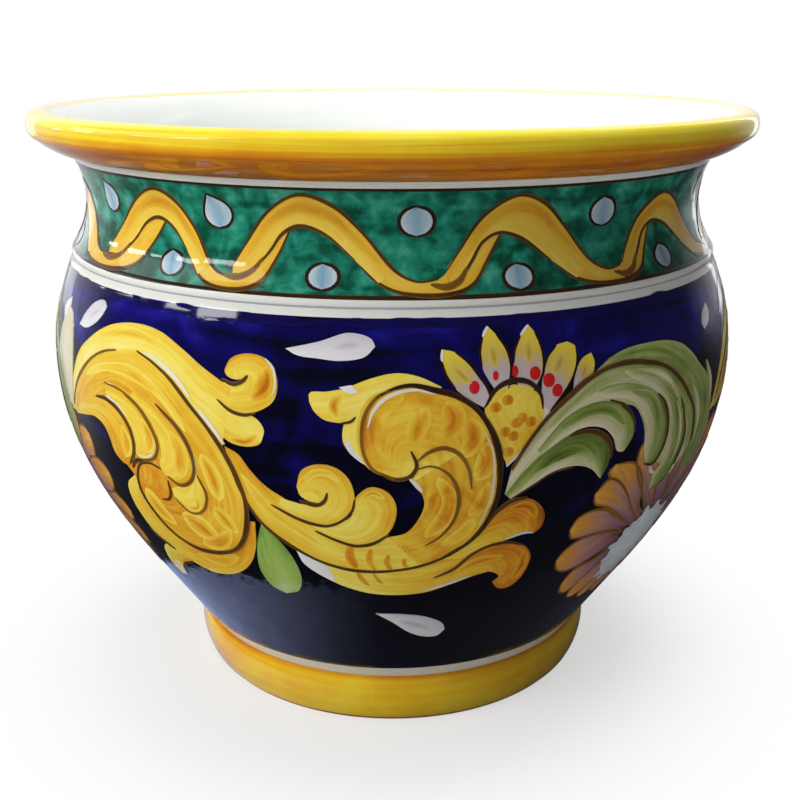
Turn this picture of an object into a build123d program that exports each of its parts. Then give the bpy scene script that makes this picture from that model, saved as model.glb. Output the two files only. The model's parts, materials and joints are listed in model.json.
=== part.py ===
from build123d import *

import os
from math import asin, atan2, cos, degrees, hypot, radians, sin, tan

# A glazed earthenware cachepot, turned about the Z axis and standing on z = 0.
# It is thrown in three pieces that are luted together: the bowl, the foot ring and the rim collar.
# The glaze lies on the clay as one coat of even thickness, in zones of different colour.
# Lengths are in millimetres and angles in degrees. Sizes are those of the clay, under the glaze.

# Heights, stacked from the ground up
foot_height = 22.5
wall_height = 165.3
bead_height = 3.6
neck_height = 37.2
rim_height = 16.2

# Bowl wall and floor: the belly sets how wide the pot is, and the other pieces step in or out from it
belly_radius = 145.1
belly_rise_share = 0.745
shoulder_step = 9.7
taper_share = 1.365
wall_thickness = 8.0
floor_thickness = 9.0
floor_corner = 9.0

# Neck: a hollow band between the bead and the rim
neck_step = 7.2
neck_waist_share = 0.54
neck_flare = 4.6
bead_setback = 0.6
bead_bulge = 0.7

# Rim collar: a flange that rises outwards and ends in a rolled lip
rim_overhang = 21.2
lip_radius = 5.0
rim_bulge_share = 0.15

# Foot ring
foot_step = 56.2
foot_flare = 2.7
foot_bulge = 2.7
foot_width = 14.0
foot_bevel = 2.0

# Glaze coat and the widths of its narrow zones
glaze_thickness = 0.6
collar_line_width = 2.6
shoulder_line_width = 2.9
foot_line_width = 5.9
foot_bare_height = 2.0

# How far a cutting outline reaches past what it cuts
overrun = 10.0

# Levels of the joints and of the floor
shoulder_level = foot_height + wall_height
neck_level = shoulder_level + bead_height
collar_level = neck_level + neck_height
crest_level = collar_level + rim_height
floor_level = foot_height + floor_thickness
open_level = crest_level + overrun

# Radii, from the belly inwards to the foot and upwards to the rim
foot_top_radius = belly_radius - foot_step
foot_base_radius = foot_top_radius - foot_flare
shoulder_radius = belly_radius - shoulder_step
neck_radius = shoulder_radius - neck_step
rim_radius = neck_radius + rim_overhang

# Angles of the wall: an arc from the belly to the shoulder, and a taper flatter than an arc to the foot
belly_rise = wall_height * belly_rise_share
shoulder_angle = 2 * degrees(atan2(shoulder_step, wall_height - belly_rise))
taper_angle = taper_share * degrees(atan2(foot_step, belly_rise))


def polar(length, angle):
    """A vector of this length, turned up from the outward direction by an angle in degrees."""
    return Vector(length * cos(radians(angle)), length * sin(radians(angle)))


# The wall leaves the foot along the taper, stands upright at the belly and leans in at the shoulder.
upright = Vector(0, 1)
outward = Vector(1, 0)
taper_way = polar(1, 90 - taper_angle)
shoulder_way = polar(1, 90 + shoulder_angle)
foot_base = Vector(foot_base_radius, 0)
foot_edge = Vector(foot_top_radius, foot_height)
belly = Vector(belly_radius, foot_height + belly_rise)
shoulder_end = Vector(shoulder_radius, shoulder_level)

# The bead stands out between the shoulder and the hollow neck.
bead_end = Vector(shoulder_radius - bead_setback, neck_level)
neck_waist = Vector(neck_radius, neck_level + neck_height * neck_waist_share)

# The flange rises from the neck to touch the underside of the lip, and rolls over into it.
collar_corner = Vector(neck_radius + neck_flare, collar_level)
lip_centre = Vector(rim_radius - lip_radius, crest_level - lip_radius)
lip_reach = lip_centre - collar_corner
lip_angle = asin(lip_radius / hypot(lip_reach.X, lip_reach.Y))
rim_slope = degrees(atan2(lip_reach.Y, lip_reach.X) - lip_angle)
rim_way = polar(1, rim_slope)
lip_under = lip_centre + polar(lip_radius, rim_slope - 90)
flange_bulge = (lip_under.Y - collar_level) * rim_bulge_share
flange_middle = (collar_corner + lip_under) * 0.5 + polar(flange_bulge, rim_slope - 90)

# The hollow of the foot, under the floor
foot_inner_radius = foot_base_radius - foot_width


def draw_outside(grow):
    """The outside of the clay moved out by grow, from the standing face up to the crest of the lip."""
    step = outward * grow
    corner = collar_corner + step - upright * grow
    under = lip_under + polar(grow, rim_slope - 90)
    flange = flange_middle + polar(grow, rim_slope - 90)
    lip = lip_centre + polar(lip_radius + grow, 0)
    crest = lip_centre + polar(lip_radius + grow, 90)
    SagittaArc(foot_base + step, foot_edge + step, -foot_bulge)
    Spline(
        foot_edge + step,
        belly + step,
        shoulder_end + step,
        tangents=(taper_way, upright, shoulder_way),
    )
    SagittaArc(shoulder_end + step, bead_end + step, -bead_bulge)
    Spline(bead_end + step, neck_waist + step, corner)
    Spline(corner, flange, under)
    Spline(under, lip, crest, tangents=(rim_way, upright, outward * -1))
    Polyline(crest, (lip_centre.X, open_level), (0, open_level))


def draw_inside(grow):
    """The inside of the clay moved in by grow, from the middle of the floor up to the crest of the lip."""
    depth = wall_thickness + grow
    level = floor_level + grow
    inner_foot = foot_edge - polar(depth, -taper_angle)
    corner_rise = level + floor_corner - inner_foot.Y
    corner = inner_foot + taper_way * (corner_rise / taper_way.Y)
    floor_radius = corner.X - floor_corner / tan(radians((90 - taper_angle) / 2))
    crest = lip_centre + polar(lip_radius + grow, 90)
    Line((0, level), (floor_radius, level))
    TangentArc((floor_radius, level), corner, tangent=outward)
    Spline(
        corner,
        belly - outward * depth,
        shoulder_end - polar(depth, shoulder_angle),
        neck_waist - outward * depth,
        lip_centre + polar(lip_radius + grow, 90 + rim_slope),
        crest,
        tangents=(taper_way, upright, shoulder_way, upright, rim_way, outward),
    )
    Polyline(crest, (lip_centre.X, open_level), (0, open_level), (0, level))


def full_section(grow):
    """Half section of the pot as if it were full, with its outside moved out by grow."""
    with BuildSketch(Plane.XZ) as full:
        with BuildLine():
            draw_outside(grow)
            Polyline((0, open_level), (0, 0), foot_base + outward * grow)
        make_face()
    return full.sketch


def hollow_section(grow):
    """Half section of the space inside the pot, with its walls moved in by grow."""
    with BuildSketch(Plane.XZ) as hollow:
        with BuildLine():
            draw_inside(grow)
        make_face()
    return hollow.sketch


def cut_band(bottom, top):
    """Keeps what lies between two levels of the sketch that is being drawn."""
    with Locations((0, bottom)):
        Rectangle(rim_radius + overrun, top - bottom, align=Align.MIN, mode=Mode.INTERSECT)


def clay_between(bottom, top):
    """Half section of the clay between two levels."""
    with BuildSketch(Plane.XZ) as clay:
        add(full_section(0))
        add(hollow_section(0), mode=Mode.SUBTRACT)
        with BuildLine():
            Polyline(
                (0, 0),
                (foot_inner_radius + foot_bevel, 0),
                (foot_inner_radius, foot_bevel),
                (foot_inner_radius, foot_height),
                (0, foot_height),
                close=True,
            )
        make_face(mode=Mode.SUBTRACT)
        cut_band(bottom, top)
    return clay.sketch


def coat_between(bottom, top):
    """Half section of the glaze on the outside between two levels."""
    with BuildSketch(Plane.XZ) as coat:
        add(full_section(glaze_thickness))
        add(full_section(0), mode=Mode.SUBTRACT)
        cut_band(bottom, top)
    return coat.sketch


os.makedirs("parts", exist_ok=True)

# Clay: the thrown bowl with its floor, belly, bead and neck
with BuildPart() as bowl:
    revolve(clay_between(foot_height, collar_level), axis=Axis.Z)
bowl.part.label = "bowl"
export_step(bowl.part, "parts/bowl.step")

# Clay: the foot ring, luted under the bowl
with BuildPart() as foot_ring:
    revolve(clay_between(0, foot_height), axis=Axis.Z)
foot_ring.part.label = "foot_ring"
export_step(foot_ring.part, "parts/foot_ring.step")

# Clay: the rim collar, luted on the neck
with BuildPart() as rim_collar:
    revolve(clay_between(collar_level, open_level), axis=Axis.Z)
rim_collar.part.label = "rim_collar"
export_step(rim_collar.part, "parts/rim_collar.step")

# Glaze: the white lining, from the crest down over the floor
with BuildPart() as lining_glaze:
    with BuildSketch(Plane.XZ):
        add(hollow_section(0))
        add(hollow_section(glaze_thickness), mode=Mode.SUBTRACT)
    revolve(axis=Axis.Z)
lining_glaze.part.label = "lining_glaze"
export_step(lining_glaze.part, "parts/lining_glaze.step")

# Glaze: the yellow rim, from the crest over the lip and its underside
with BuildPart() as rim_glaze:
    revolve(coat_between(collar_level, open_level), axis=Axis.Z)
rim_glaze.part.label = "rim_glaze"
export_step(rim_glaze.part, "parts/rim_glaze.step")

# Glaze: the white line under the rim
neck_top = collar_level - collar_line_width
with BuildPart() as collar_line_glaze:
    revolve(coat_between(neck_top, collar_level), axis=Axis.Z)
collar_line_glaze.part.label = "collar_line_glaze"
export_step(collar_line_glaze.part, "parts/collar_line_glaze.step")

# Glaze: the green neck
with BuildPart() as neck_glaze:
    revolve(coat_between(neck_level, neck_top), axis=Axis.Z)
neck_glaze.part.label = "neck_glaze"
export_step(neck_glaze.part, "parts/neck_glaze.step")

# Glaze: the white bead and the white line below it on the shoulder
belly_top = shoulder_level - shoulder_line_width
with BuildPart() as bead_glaze:
    revolve(coat_between(belly_top, neck_level), axis=Axis.Z)
bead_glaze.part.label = "bead_glaze"
export_step(bead_glaze.part, "parts/bead_glaze.step")

# Glaze: the cobalt belly
belly_bottom = foot_height + foot_line_width
with BuildPart() as belly_glaze:
    revolve(coat_between(belly_bottom, belly_top), axis=Axis.Z)
belly_glaze.part.label = "belly_glaze"
export_step(belly_glaze.part, "parts/belly_glaze.step")

# Glaze: the white line over the foot
with BuildPart() as foot_line_glaze:
    revolve(coat_between(foot_height, belly_bottom), axis=Axis.Z)
foot_line_glaze.part.label = "foot_line_glaze"
export_step(foot_line_glaze.part, "parts/foot_line_glaze.step")

# Glaze: the yellow foot, wiped clean above the standing face
with BuildPart() as foot_glaze:
    revolve(coat_between(foot_bare_height, foot_height), axis=Axis.Z)
foot_glaze.part.label = "foot_glaze"
export_step(foot_glaze.part, "parts/foot_glaze.step")
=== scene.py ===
"""A hand-painted, glazed earthenware cachepot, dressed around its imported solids.

Lengths in the painting are millimetres and angles are degrees round the pot from the front, rightwards.
"""

from __future__ import annotations

import json
import logging
import math
from dataclasses import dataclass
from enum import Enum
from typing import Sequence

import bmesh
import bpy
import numpy as np
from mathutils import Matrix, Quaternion, Vector

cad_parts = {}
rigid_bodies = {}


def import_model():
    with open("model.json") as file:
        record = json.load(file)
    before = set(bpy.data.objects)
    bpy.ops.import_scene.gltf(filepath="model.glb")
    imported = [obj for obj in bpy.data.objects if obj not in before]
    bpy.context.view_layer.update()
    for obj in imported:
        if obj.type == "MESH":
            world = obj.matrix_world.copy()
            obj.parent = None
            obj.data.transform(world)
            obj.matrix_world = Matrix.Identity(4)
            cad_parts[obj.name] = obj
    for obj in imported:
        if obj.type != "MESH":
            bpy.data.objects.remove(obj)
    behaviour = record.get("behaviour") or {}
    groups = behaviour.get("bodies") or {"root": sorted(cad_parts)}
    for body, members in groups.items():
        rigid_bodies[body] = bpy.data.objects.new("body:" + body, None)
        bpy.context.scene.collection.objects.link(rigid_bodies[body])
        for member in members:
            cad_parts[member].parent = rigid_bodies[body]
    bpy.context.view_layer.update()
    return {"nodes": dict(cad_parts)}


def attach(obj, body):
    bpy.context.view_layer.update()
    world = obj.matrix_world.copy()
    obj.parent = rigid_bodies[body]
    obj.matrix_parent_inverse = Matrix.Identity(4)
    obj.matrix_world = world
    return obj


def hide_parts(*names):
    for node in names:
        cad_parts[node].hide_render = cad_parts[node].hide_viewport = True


log = logging.getLogger("cachepot")

Path = Sequence[tuple[float, float]]
Point = tuple[float, float, float]
Rgb = tuple[int, int, int]
Rgba = tuple[float, float, float, float]
Stops = tuple[tuple[float, Rgb], ...]

BODY = "root"
MM = 0.001
DEGREE_MM = 2.4
THIRD = 120.0
REPEATS = (0.0, THIRD, 2 * THIRD)
DARK = (0.65, 0.95, 0.65)
BROWN = (0.22, 0.42, 0.22)
STREAKS_ALONG = 0.045
STREAKS_ACROSS = 0.55
POOL_SCALE = 95.0
WAVE_SCALE = 42.0
FINE_SCALE = (110.0, 110.0, 300.0)
RING_SCALE = (6.0, 6.0, 260.0)
SLOW_SWAY = (1, 2, 3, 5, 8, 13, 21, 34)
DABS = (9, 17, 29, 43, 67)
LIMB_STEP = 1.2
LIMB_COUNTS = (26, 150)
LINE_STEP = 1.4
LINE_COUNTS = (10, 220)
LINE_SWELL = 0.55
LINE_SWAY = 0.14
LINE_PACE = 0.21


def linear(colour: Rgb) -> Rgba:
    """A colour of 0 to 255 as it looks on a screen, in the linear values that shaders take."""
    parts = [value / 255 for value in colour]
    return (*[p / 12.92 if p <= 0.04045 else ((p + 0.055) / 1.055) ** 2.4 for p in parts], 1.0)


class Graph:
    """A node tree with short ways to add and join nodes."""

    def __init__(self, tree: bpy.types.NodeTree) -> None:
        """Takes the tree to fill."""
        self.tree = tree

    def add(self, kind: str, settings: dict | None = None, **inputs: object) -> bpy.types.Node:
        """Adds a node.

        Args:
            kind: The node's type, without its ShaderNode prefix.
            settings: Properties of the node.
            inputs: Values or output sockets for its inputs; an underscore in a name stands for a space.

        Returns:
            The new node.
        """
        node = self.tree.nodes.new(kind if kind.startswith("Node") else "ShaderNode" + kind)
        for key, value in (settings or {}).items():
            setattr(node, key, value)
        for key, value in inputs.items():
            self.feed(node.inputs[key.replace("_", " ")], value)
        return node

    def feed(self, socket: bpy.types.NodeSocket, value: object) -> None:
        """Gives a socket a value, or joins an output to it."""
        if isinstance(value, bpy.types.NodeSocket):
            self.tree.links.new(value, socket)
        else:
            socket.default_value = value

    def math(
        self, operation: str, first: object, second: object = 0.0, third: object = 0.0,
    ) -> bpy.types.NodeSocket:
        """The result of a Math node."""
        node = self.add("Math", {"operation": operation})
        for socket, value in zip(node.inputs, (first, second, third)):
            self.feed(socket, value)
        return node.outputs[0]

    def ramp(self, value: object, stops: Stops) -> bpy.types.NodeSocket:
        """The colour of a ramp at a value.

        Args:
            value: Output socket that is looked up.
            stops: Places from 0 to 1, each with its colour.

        Returns:
            The colour's socket.
        """
        node = self.add("ValToRGB", Fac=value)
        elements = node.color_ramp.elements
        elements.remove(elements[1])
        elements[0].position = stops[0][0]
        elements[0].color = linear(stops[0][1])
        for place, colour in stops[1:]:
            elements.new(place).color = linear(colour)
        return node.outputs["Color"]

    def noise(
        self, vector: object, scale: float, detail: float = 3.0, distortion: float = 0.0,
    ) -> bpy.types.NodeSocket:
        """The value of a Noise Texture."""
        node = self.add("TexNoise", Vector=vector, Scale=scale, Detail=detail, Distortion=distortion)
        return node.outputs["Fac"]

    def ease(self, value: object, none: float, full: float, most: float = 1.0) -> bpy.types.NodeSocket:
        """A share that eases from nothing to its most as a value goes from one mark to the other."""
        node = self.add("MapRange", {"interpolation_type": "SMOOTHSTEP"}, Value=value)
        for key, mark in (("From Min", none), ("From Max", full), ("To Max", most)):
            node.inputs[key].default_value = mark
        return node.outputs[0]

    def mix(self, share: object, first: object, second: object) -> bpy.types.NodeSocket:
        """A colour between two others."""
        return self.add("MixRGB", Fac=share, Color1=first, Color2=second).outputs[0]

    def blend(self, share: object, first: bpy.types.Node, second: bpy.types.Node) -> bpy.types.Node:
        """A shader between two others."""
        node = self.add("MixShader", Fac=share)
        for socket, shader in zip(node.inputs[1:], (first, second)):
            self.feed(socket, shader.outputs[0])
        return node

    def stretch(self, vector: object, scale: Point) -> bpy.types.NodeSocket:
        """Coordinates stretched along their axes."""
        return self.add("Mapping", Vector=vector, Scale=scale).outputs["Vector"]

    def group(self, tree: bpy.types.NodeTree, **inputs: object) -> bpy.types.Node:
        """Places a node group and feeds its inputs."""
        node = self.add("Group", {"node_tree": tree})
        for key, value in inputs.items():
            self.feed(node.inputs[key], value)
        return node


def new_group(name: str, inputs: Sequence[str], output: str) -> tuple[Graph, dict[str, bpy.types.NodeSocket]]:
    """Starts a shader node group of plain numbers.

    Args:
        name: The group's name.
        inputs: Names of its inputs.
        output: Name of its only output.

    Returns:
        The group's graph, and its sockets by name, the output's among them.
    """
    tree = bpy.data.node_groups.new(name, "ShaderNodeTree")
    for key in inputs:
        tree.interface.new_socket(key, in_out="INPUT", socket_type="NodeSocketFloat")
    tree.interface.new_socket(output, in_out="OUTPUT", socket_type="NodeSocketFloat")
    graph = Graph(tree)
    sockets = {s.name: s for s in graph.add("NodeGroupInput").outputs if s.name}
    sockets[output] = graph.add("NodeGroupOutput").inputs[output]
    return graph, sockets


def brush_group() -> bpy.types.NodeTree:
    """The marks of a loaded brush: streaks along a stroke and pools where the colour gathered."""
    found = bpy.data.node_groups.get("brush_marks")
    if found:
        return found
    graph, sockets = new_group("brush_marks", ("Along", "Across", "Streak", "Pool"), "Shift")
    flow = graph.add("CombineXYZ", X=graph.math("MULTIPLY", sockets["Along"], STREAKS_ALONG))
    graph.feed(flow.inputs["Y"], graph.math("MULTIPLY", sockets["Across"], STREAKS_ACROSS))
    streak = graph.math("SUBTRACT", graph.noise(flow.outputs[0], 1.0, 4.0, 0.4), 0.5)
    place = graph.add("TexCoord").outputs["Object"]
    pool = graph.math("SUBTRACT", graph.noise(place, POOL_SCALE, 3.0, 0.6), 0.5)
    streak = graph.math("MULTIPLY", streak, sockets["Streak"])
    graph.feed(sockets["Shift"], graph.math("MULTIPLY_ADD", pool, sockets["Pool"], streak))
    return graph.tree


def ripple_group() -> bpy.types.NodeTree:
    """The height of a fired glaze: slow waves and faint turning rings."""
    found = bpy.data.node_groups.get("glaze_ripple")
    if found:
        return found
    graph, sockets = new_group("glaze_ripple", ("Waves", "Fine", "Rings"), "Height")
    place = graph.add("TexCoord").outputs["Object"]
    waves = graph.math("MULTIPLY", graph.noise(place, WAVE_SCALE, 2.0), sockets["Waves"])
    brushed = graph.noise(graph.stretch(place, FINE_SCALE), 1.0, 3.0)
    waves = graph.math("MULTIPLY_ADD", brushed, sockets["Fine"], waves)
    rings = graph.noise(graph.stretch(place, RING_SCALE), 1.0, 2.0)
    graph.feed(sockets["Height"], graph.math("MULTIPLY_ADD", rings, sockets["Rings"], waves))
    return graph.tree


@dataclass(frozen=True)
class Gloss:
    """How the fired glaze shines."""

    roughness: float = 0.06
    waves: float = 1.0
    fine: float = 0.12
    rings: float = 0.25
    depth: float = 0.00045
    strength: float = 0.35
    wear: float = 0.05
    wear_scale: float = 18.0
    ior: float = 1.52

    def shade(self, graph: Graph, colour: bpy.types.NodeSocket) -> None:
        """Ends a material's graph with a glazed surface of this colour."""
        rippled = graph.group(ripple_group(), Waves=self.waves, Fine=self.fine, Rings=self.rings)
        ripple = rippled.outputs["Height"]
        bump = graph.add("Bump", Strength=self.strength, Distance=self.depth, Height=ripple)
        worn = graph.noise(graph.add("TexCoord").outputs["Object"], self.wear_scale, 4.0)
        rough = graph.math("MULTIPLY_ADD", worn, self.wear, self.roughness - self.wear / 2)
        shader = graph.add(
            "BsdfPrincipled", Base_Color=colour, Roughness=rough, Normal=bump.outputs["Normal"],
        )
        shader.inputs["IOR"].default_value = self.ior
        graph.add("OutputMaterial", Surface=shader.outputs[0])


def new_material(name: str) -> tuple[bpy.types.Material, Graph]:
    """An empty material and its graph."""
    material = bpy.data.materials.new(name)
    material.use_nodes = True
    material.node_tree.nodes.clear()
    return material, Graph(material.node_tree)


@dataclass(frozen=True)
class Paint:
    """A brushed colour: its tones from thin to heavy, and how unevenly it lies."""

    name: str
    stops: Stops
    slot: str = "yellow_glaze"
    streak: float = 0.5
    pool: float = 0.25
    gloss: Gloss = Gloss()

    def material(self) -> bpy.types.Material:
        """The paint's material, made once. It reads the tone that each stroke carries."""
        found = bpy.data.materials.get(self.name)
        if found:
            return found
        material, graph = new_material(self.name)
        reads = {
            key: graph.add("Attribute", {"attribute_name": key}).outputs["Fac"]
            for key in ("along", "across", "tone")
        }
        marks = graph.group(
            brush_group(), Along=reads["along"], Across=reads["across"], Streak=self.streak, Pool=self.pool
        )
        self.gloss.shade(
            graph, graph.ramp(graph.math("ADD", reads["tone"], marks.outputs["Shift"]), self.stops),
        )
        return material


YELLOW_TONES: Stops = (
    (0.0, (250, 243, 210)),
    (0.16, (248, 234, 134)),
    (0.42, (243, 217, 84)),
    (0.62, (234, 188, 54)),
    (0.82, (216, 138, 30)),
    (1.0, (160, 88, 22)),
)


class Pigment(Enum):
    """The paints on the pot."""

    YELLOW = Paint("yellow_paint", YELLOW_TONES)
    MOTTLED = Paint("mottled_yellow_paint", YELLOW_TONES, streak=0.4, pool=0.65)
    RIBBON = Paint(
        "ribbon_paint",
        (
            (0.0, (250, 236, 176)), (0.25, (240, 206, 80)), (0.55, (230, 178, 50)), (0.8, (208, 136, 36)),
            (1.0, (152, 84, 24)),
        ),
        streak=0.4,
    )
    LEAF = Paint(
        "leaf_paint",
        (
            (0.0, (230, 222, 192)),
            (0.28, (206, 202, 154)),
            (0.52, (164, 176, 102)),
            (0.78, (120, 140, 60)),
            (1.0, (64, 78, 30)),
        ),
        "green_glaze",
        0.7,
    )
    CREAM = Paint(
        "cream_paint", ((0.0, (236, 228, 206)), (0.5, (212, 204, 168)), (1.0, (170, 172, 116))),
        "white_glaze",
    )
    SUN_PETAL = Paint(
        "sun_petal_paint",
        ((0.0, (206, 192, 196)), (0.4, (196, 178, 176)), (0.62, (216, 188, 92)), (1.0, (240, 214, 64))),
        streak=0.3,
    )
    ROUND_PETAL = Paint(
        "round_petal_paint",
        (
            (0.0, (84, 50, 54)), (0.3, (150, 106, 114)), (0.55, (184, 134, 120)), (0.76, (216, 148, 54)),
            (1.0, (232, 184, 88)),
        ),
        streak=0.55,
    )
    OLIVE = Paint(
        "olive_paint", ((0.0, (224, 200, 110)), (0.6, (206, 172, 70)), (1.0, (158, 128, 52))), streak=0.3,
    )
    GREEN_DROP = Paint(
        "green_drop_paint",
        ((0.0, (206, 212, 150)), (0.5, (160, 186, 92)), (1.0, (104, 152, 66))),
        "green_glaze",
    )
    PALE = Paint(
        "pale_paint", ((0.0, (238, 238, 236)), (0.5, (216, 212, 220)), (1.0, (180, 178, 184))),
        "white_glaze", 0.35,
    )
    SKY = Paint(
        "sky_paint", ((0.0, (240, 242, 242)), (0.5, (198, 214, 220)), (1.0, (112, 164, 190))),
        "white_glaze", 0.35,
    )
    RED = Paint("red_paint", ((0.0, (224, 70, 60)), (0.5, (206, 32, 36)), (1.0, (170, 20, 26))), streak=0.2)
    INK = Paint(
        "ink_paint",
        ((0.0, (142, 100, 36)), (0.3, (94, 64, 30)), (0.55, (54, 35, 20)), (1.0, (20, 12, 9))),
        "cobalt_glaze",
        0.45,
    )
    BLUE = Paint(
        "blue_edge_paint", ((0.0, (30, 20, 130)), (0.6, (16, 11, 74)), (1.0, (8, 7, 34))), "cobalt_glaze",
        0.5,
    )


@dataclass(frozen=True)
class GroundGlaze:
    """A ground colour, brushed round the pot in bands and let run a little in the fire."""

    name: str
    stops: Stops
    bands: float = 0.5
    clouds: float = 0.5
    band_scale: float = 150.0
    band_run: float = 9.0
    cloud_scale: float = 26.0
    swirl: float = 1.2
    gloss: Gloss = Gloss()

    def material(self) -> bpy.types.Material:
        """The ground's material, made once."""
        found = bpy.data.materials.get(self.name)
        if found:
            return found
        material, graph = new_material(self.name)
        place = graph.add("TexCoord").outputs["Object"]
        bands = graph.noise(
            graph.stretch(place, (self.band_run, self.band_run, self.band_scale)), 1.0, 4.0, 0.3,
        )
        clouds = graph.noise(place, self.cloud_scale, 5.0, self.swirl)
        mixed = graph.math("MULTIPLY_ADD", graph.math("SUBTRACT", bands, 0.5), self.bands, 0.5)
        mixed = graph.math("MULTIPLY_ADD", graph.math("SUBTRACT", clouds, 0.5), self.clouds, mixed)
        self.gloss.shade(graph, self.finish(graph, place, mixed))
        return material

    def finish(
        self, graph: Graph, place: bpy.types.NodeSocket, tone: bpy.types.NodeSocket,
    ) -> bpy.types.NodeSocket:
        """The ground's colour for a tone; a plain ground has the same everywhere."""
        return graph.ramp(tone, self.stops)


@dataclass(frozen=True)
class BandedGlaze(GroundGlaze):
    """A ground that grows darker from one level to another: painted shade, which on the rim is partly the
    painter's own orange.
    """

    light_level: float = 0.24
    dark_level: float = 0.23
    shading: float = 0.6

    def finish(
        self, graph: Graph, place: bpy.types.NodeSocket, tone: bpy.types.NodeSocket,
    ) -> bpy.types.NodeSocket:
        """Adds the painted shade from the light level to the dark level."""
        level = graph.add("SeparateXYZ", Vector=place).outputs["Z"]
        share = graph.ease(level, self.light_level, self.dark_level)
        return graph.ramp(graph.math("MULTIPLY_ADD", share, self.shading, tone), self.stops)


@dataclass(frozen=True)
class LinedGlaze(GroundGlaze):
    """The lining, over which the colour of the rim was drawn at the crest."""

    edge_level: float = 0.2447
    edge_blur: float = 0.0004
    edge_sway: float = 0.0012
    sway_scale: float = 30.0
    edge: Stops = ((0.3, (250, 240, 190)), (0.7, (238, 212, 130)))

    def finish(
        self, graph: Graph, place: bpy.types.NodeSocket, tone: bpy.types.NodeSocket,
    ) -> bpy.types.NodeSocket:
        """White, with the rim's yellow above the edge's level."""
        level = graph.add("SeparateXYZ", Vector=place).outputs["Z"]
        hand = graph.math("MULTIPLY_ADD", graph.noise(place, self.sway_scale, 2.0), self.edge_sway, level)
        mask = graph.add("MapRange", Value=hand)
        mask.inputs["From Min"].default_value = self.edge_level
        mask.inputs["From Max"].default_value = self.edge_level + self.edge_blur
        return graph.mix(mask.outputs[0], graph.ramp(tone, self.stops), graph.ramp(tone, self.edge))


@dataclass(frozen=True)
class BareClay:
    """Fired clay without glaze."""

    name: str = "bare_terracotta"
    light: Rgb = (206, 150, 112)
    dark: Rgb = (164, 98, 66)
    grit_scale: float = 900.0
    turning_scale: Point = (14.0, 14.0, 420.0)
    turning: float = 0.8
    grain: float = 0.0004
    depth: float = 0.4
    roughness: float = 0.75
    rough_sway: float = 0.15

    def material(self) -> bpy.types.Material:
        """The clay's material, with grit and turning marks, made once."""
        found = bpy.data.materials.get(self.name)
        if found:
            return found
        material, graph = new_material(self.name)
        place = graph.add("TexCoord").outputs["Object"]
        grit = graph.noise(place, self.grit_scale, 4.0)
        turning = graph.noise(graph.stretch(place, self.turning_scale), 1.0, 3.0)
        tone = graph.math("MULTIPLY_ADD", graph.math("SUBTRACT", turning, 0.5), self.turning, grit)
        colour = graph.ramp(tone, ((0.25, self.dark), (0.75, self.light)))
        bump = graph.add("Bump", Strength=self.depth, Distance=self.grain, Height=tone)
        rough = graph.math("MULTIPLY_ADD", grit, self.rough_sway, self.roughness)
        shader = graph.add(
            "BsdfPrincipled", Base_Color=colour, Roughness=rough, Normal=bump.outputs["Normal"],
        )
        graph.add("OutputMaterial", Surface=shader.outputs[0])
        return material


class Ground(Enum):
    """The ground glazes and the clay."""

    WHITE = GroundGlaze(
        "white_ground", ((0.0, (214, 216, 206)), (0.5, (232, 233, 226)), (1.0, (242, 242, 238))), clouds=0.3
    )
    LINING = LinedGlaze(
        "lining_ground", ((0.0, (222, 226, 218)), (0.5, (238, 241, 236)), (1.0, (246, 247, 244))), clouds=0.3
    )
    # Painted light and shade: lighter under the shoulder and darker towards the foot, as if the belly were
    # lit from above.
    COBALT = BandedGlaze(
        "cobalt_ground",
        ((0.2, (2, 2, 9)), (0.38, (5, 4, 26)), (0.54, (12, 9, 90)), (0.78, (40, 34, 172))),
        bands=0.35,
        clouds=0.75,
        cloud_scale=30.0,
        gloss=Gloss(waves=3.2, fine=0.7),
        light_level=0.19,
        dark_level=0.08,
        shading=-0.26,
    )
    VIRIDIAN = GroundGlaze(
        "viridian_ground",
        ((0.2, (4, 42, 32)), (0.42, (14, 88, 68)), (0.58, (36, 140, 115)), (0.85, (104, 194, 168))),
        bands=0.35,
        clouds=1.0,
        band_scale=220.0,
        cloud_scale=130.0,
        swirl=0.3,
        gloss=Gloss(waves=2.0, fine=0.3, rings=0.6),
    )
    # Darker down the flange: partly the painter's orange, partly painted shade under the lip.
    RIM = BandedGlaze(
        "rim_ground",
        (
            (0.3, (253, 242, 130)), (0.5, (248, 224, 58)), (0.62, (240, 192, 36)), (0.76, (220, 136, 28)),
            (1.0, (166, 76, 20)),
        ),
        bands=0.42,
        clouds=0.2,
        band_scale=520.0,
        light_level=0.2425,
        dark_level=0.2335,
        shading=0.38,
    )
    # Darker at the top of the foot: painted shade in the groove under the belly.
    FOOT = BandedGlaze(
        "foot_ground",
        (
            (0.1, (252, 232, 96)), (0.45, (244, 206, 48)), (0.62, (236, 174, 36)), (0.85, (204, 124, 28)),
            (1.0, (160, 88, 22)),
        ),
        bands=0.4,
        clouds=0.45,
        band_scale=260.0,
        light_level=0.0195,
        dark_level=0.0224,
        shading=0.26,
    )
    CLAY = BareClay()


def smooth_path(points: Path, count: int) -> np.ndarray:
    """A smooth line through given points, as points at even steps.

    Args:
        points: Degrees round and millimetres up.
        count: Number of points to return.

    Returns:
        Points on the flat sheet, both coordinates in millimetres.
    """
    dense = curve_through([np.array((deg * DEGREE_MM, up)) for deg, up in points])
    steps = np.hypot(*np.diff(dense, axis=0).T)
    travel = np.concatenate(([0.0], np.cumsum(steps)))
    even = np.linspace(0.0, travel[-1], count)
    return np.column_stack([np.interp(even, travel, dense[:, axis]) for axis in (0, 1)])


def between(a: np.ndarray, b: np.ndarray, low: float, high: float, t: np.ndarray) -> np.ndarray:
    """Blends two points or rows between two knots."""
    return (a * (high - t) + b * (t - low)) / (high - low)


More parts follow.
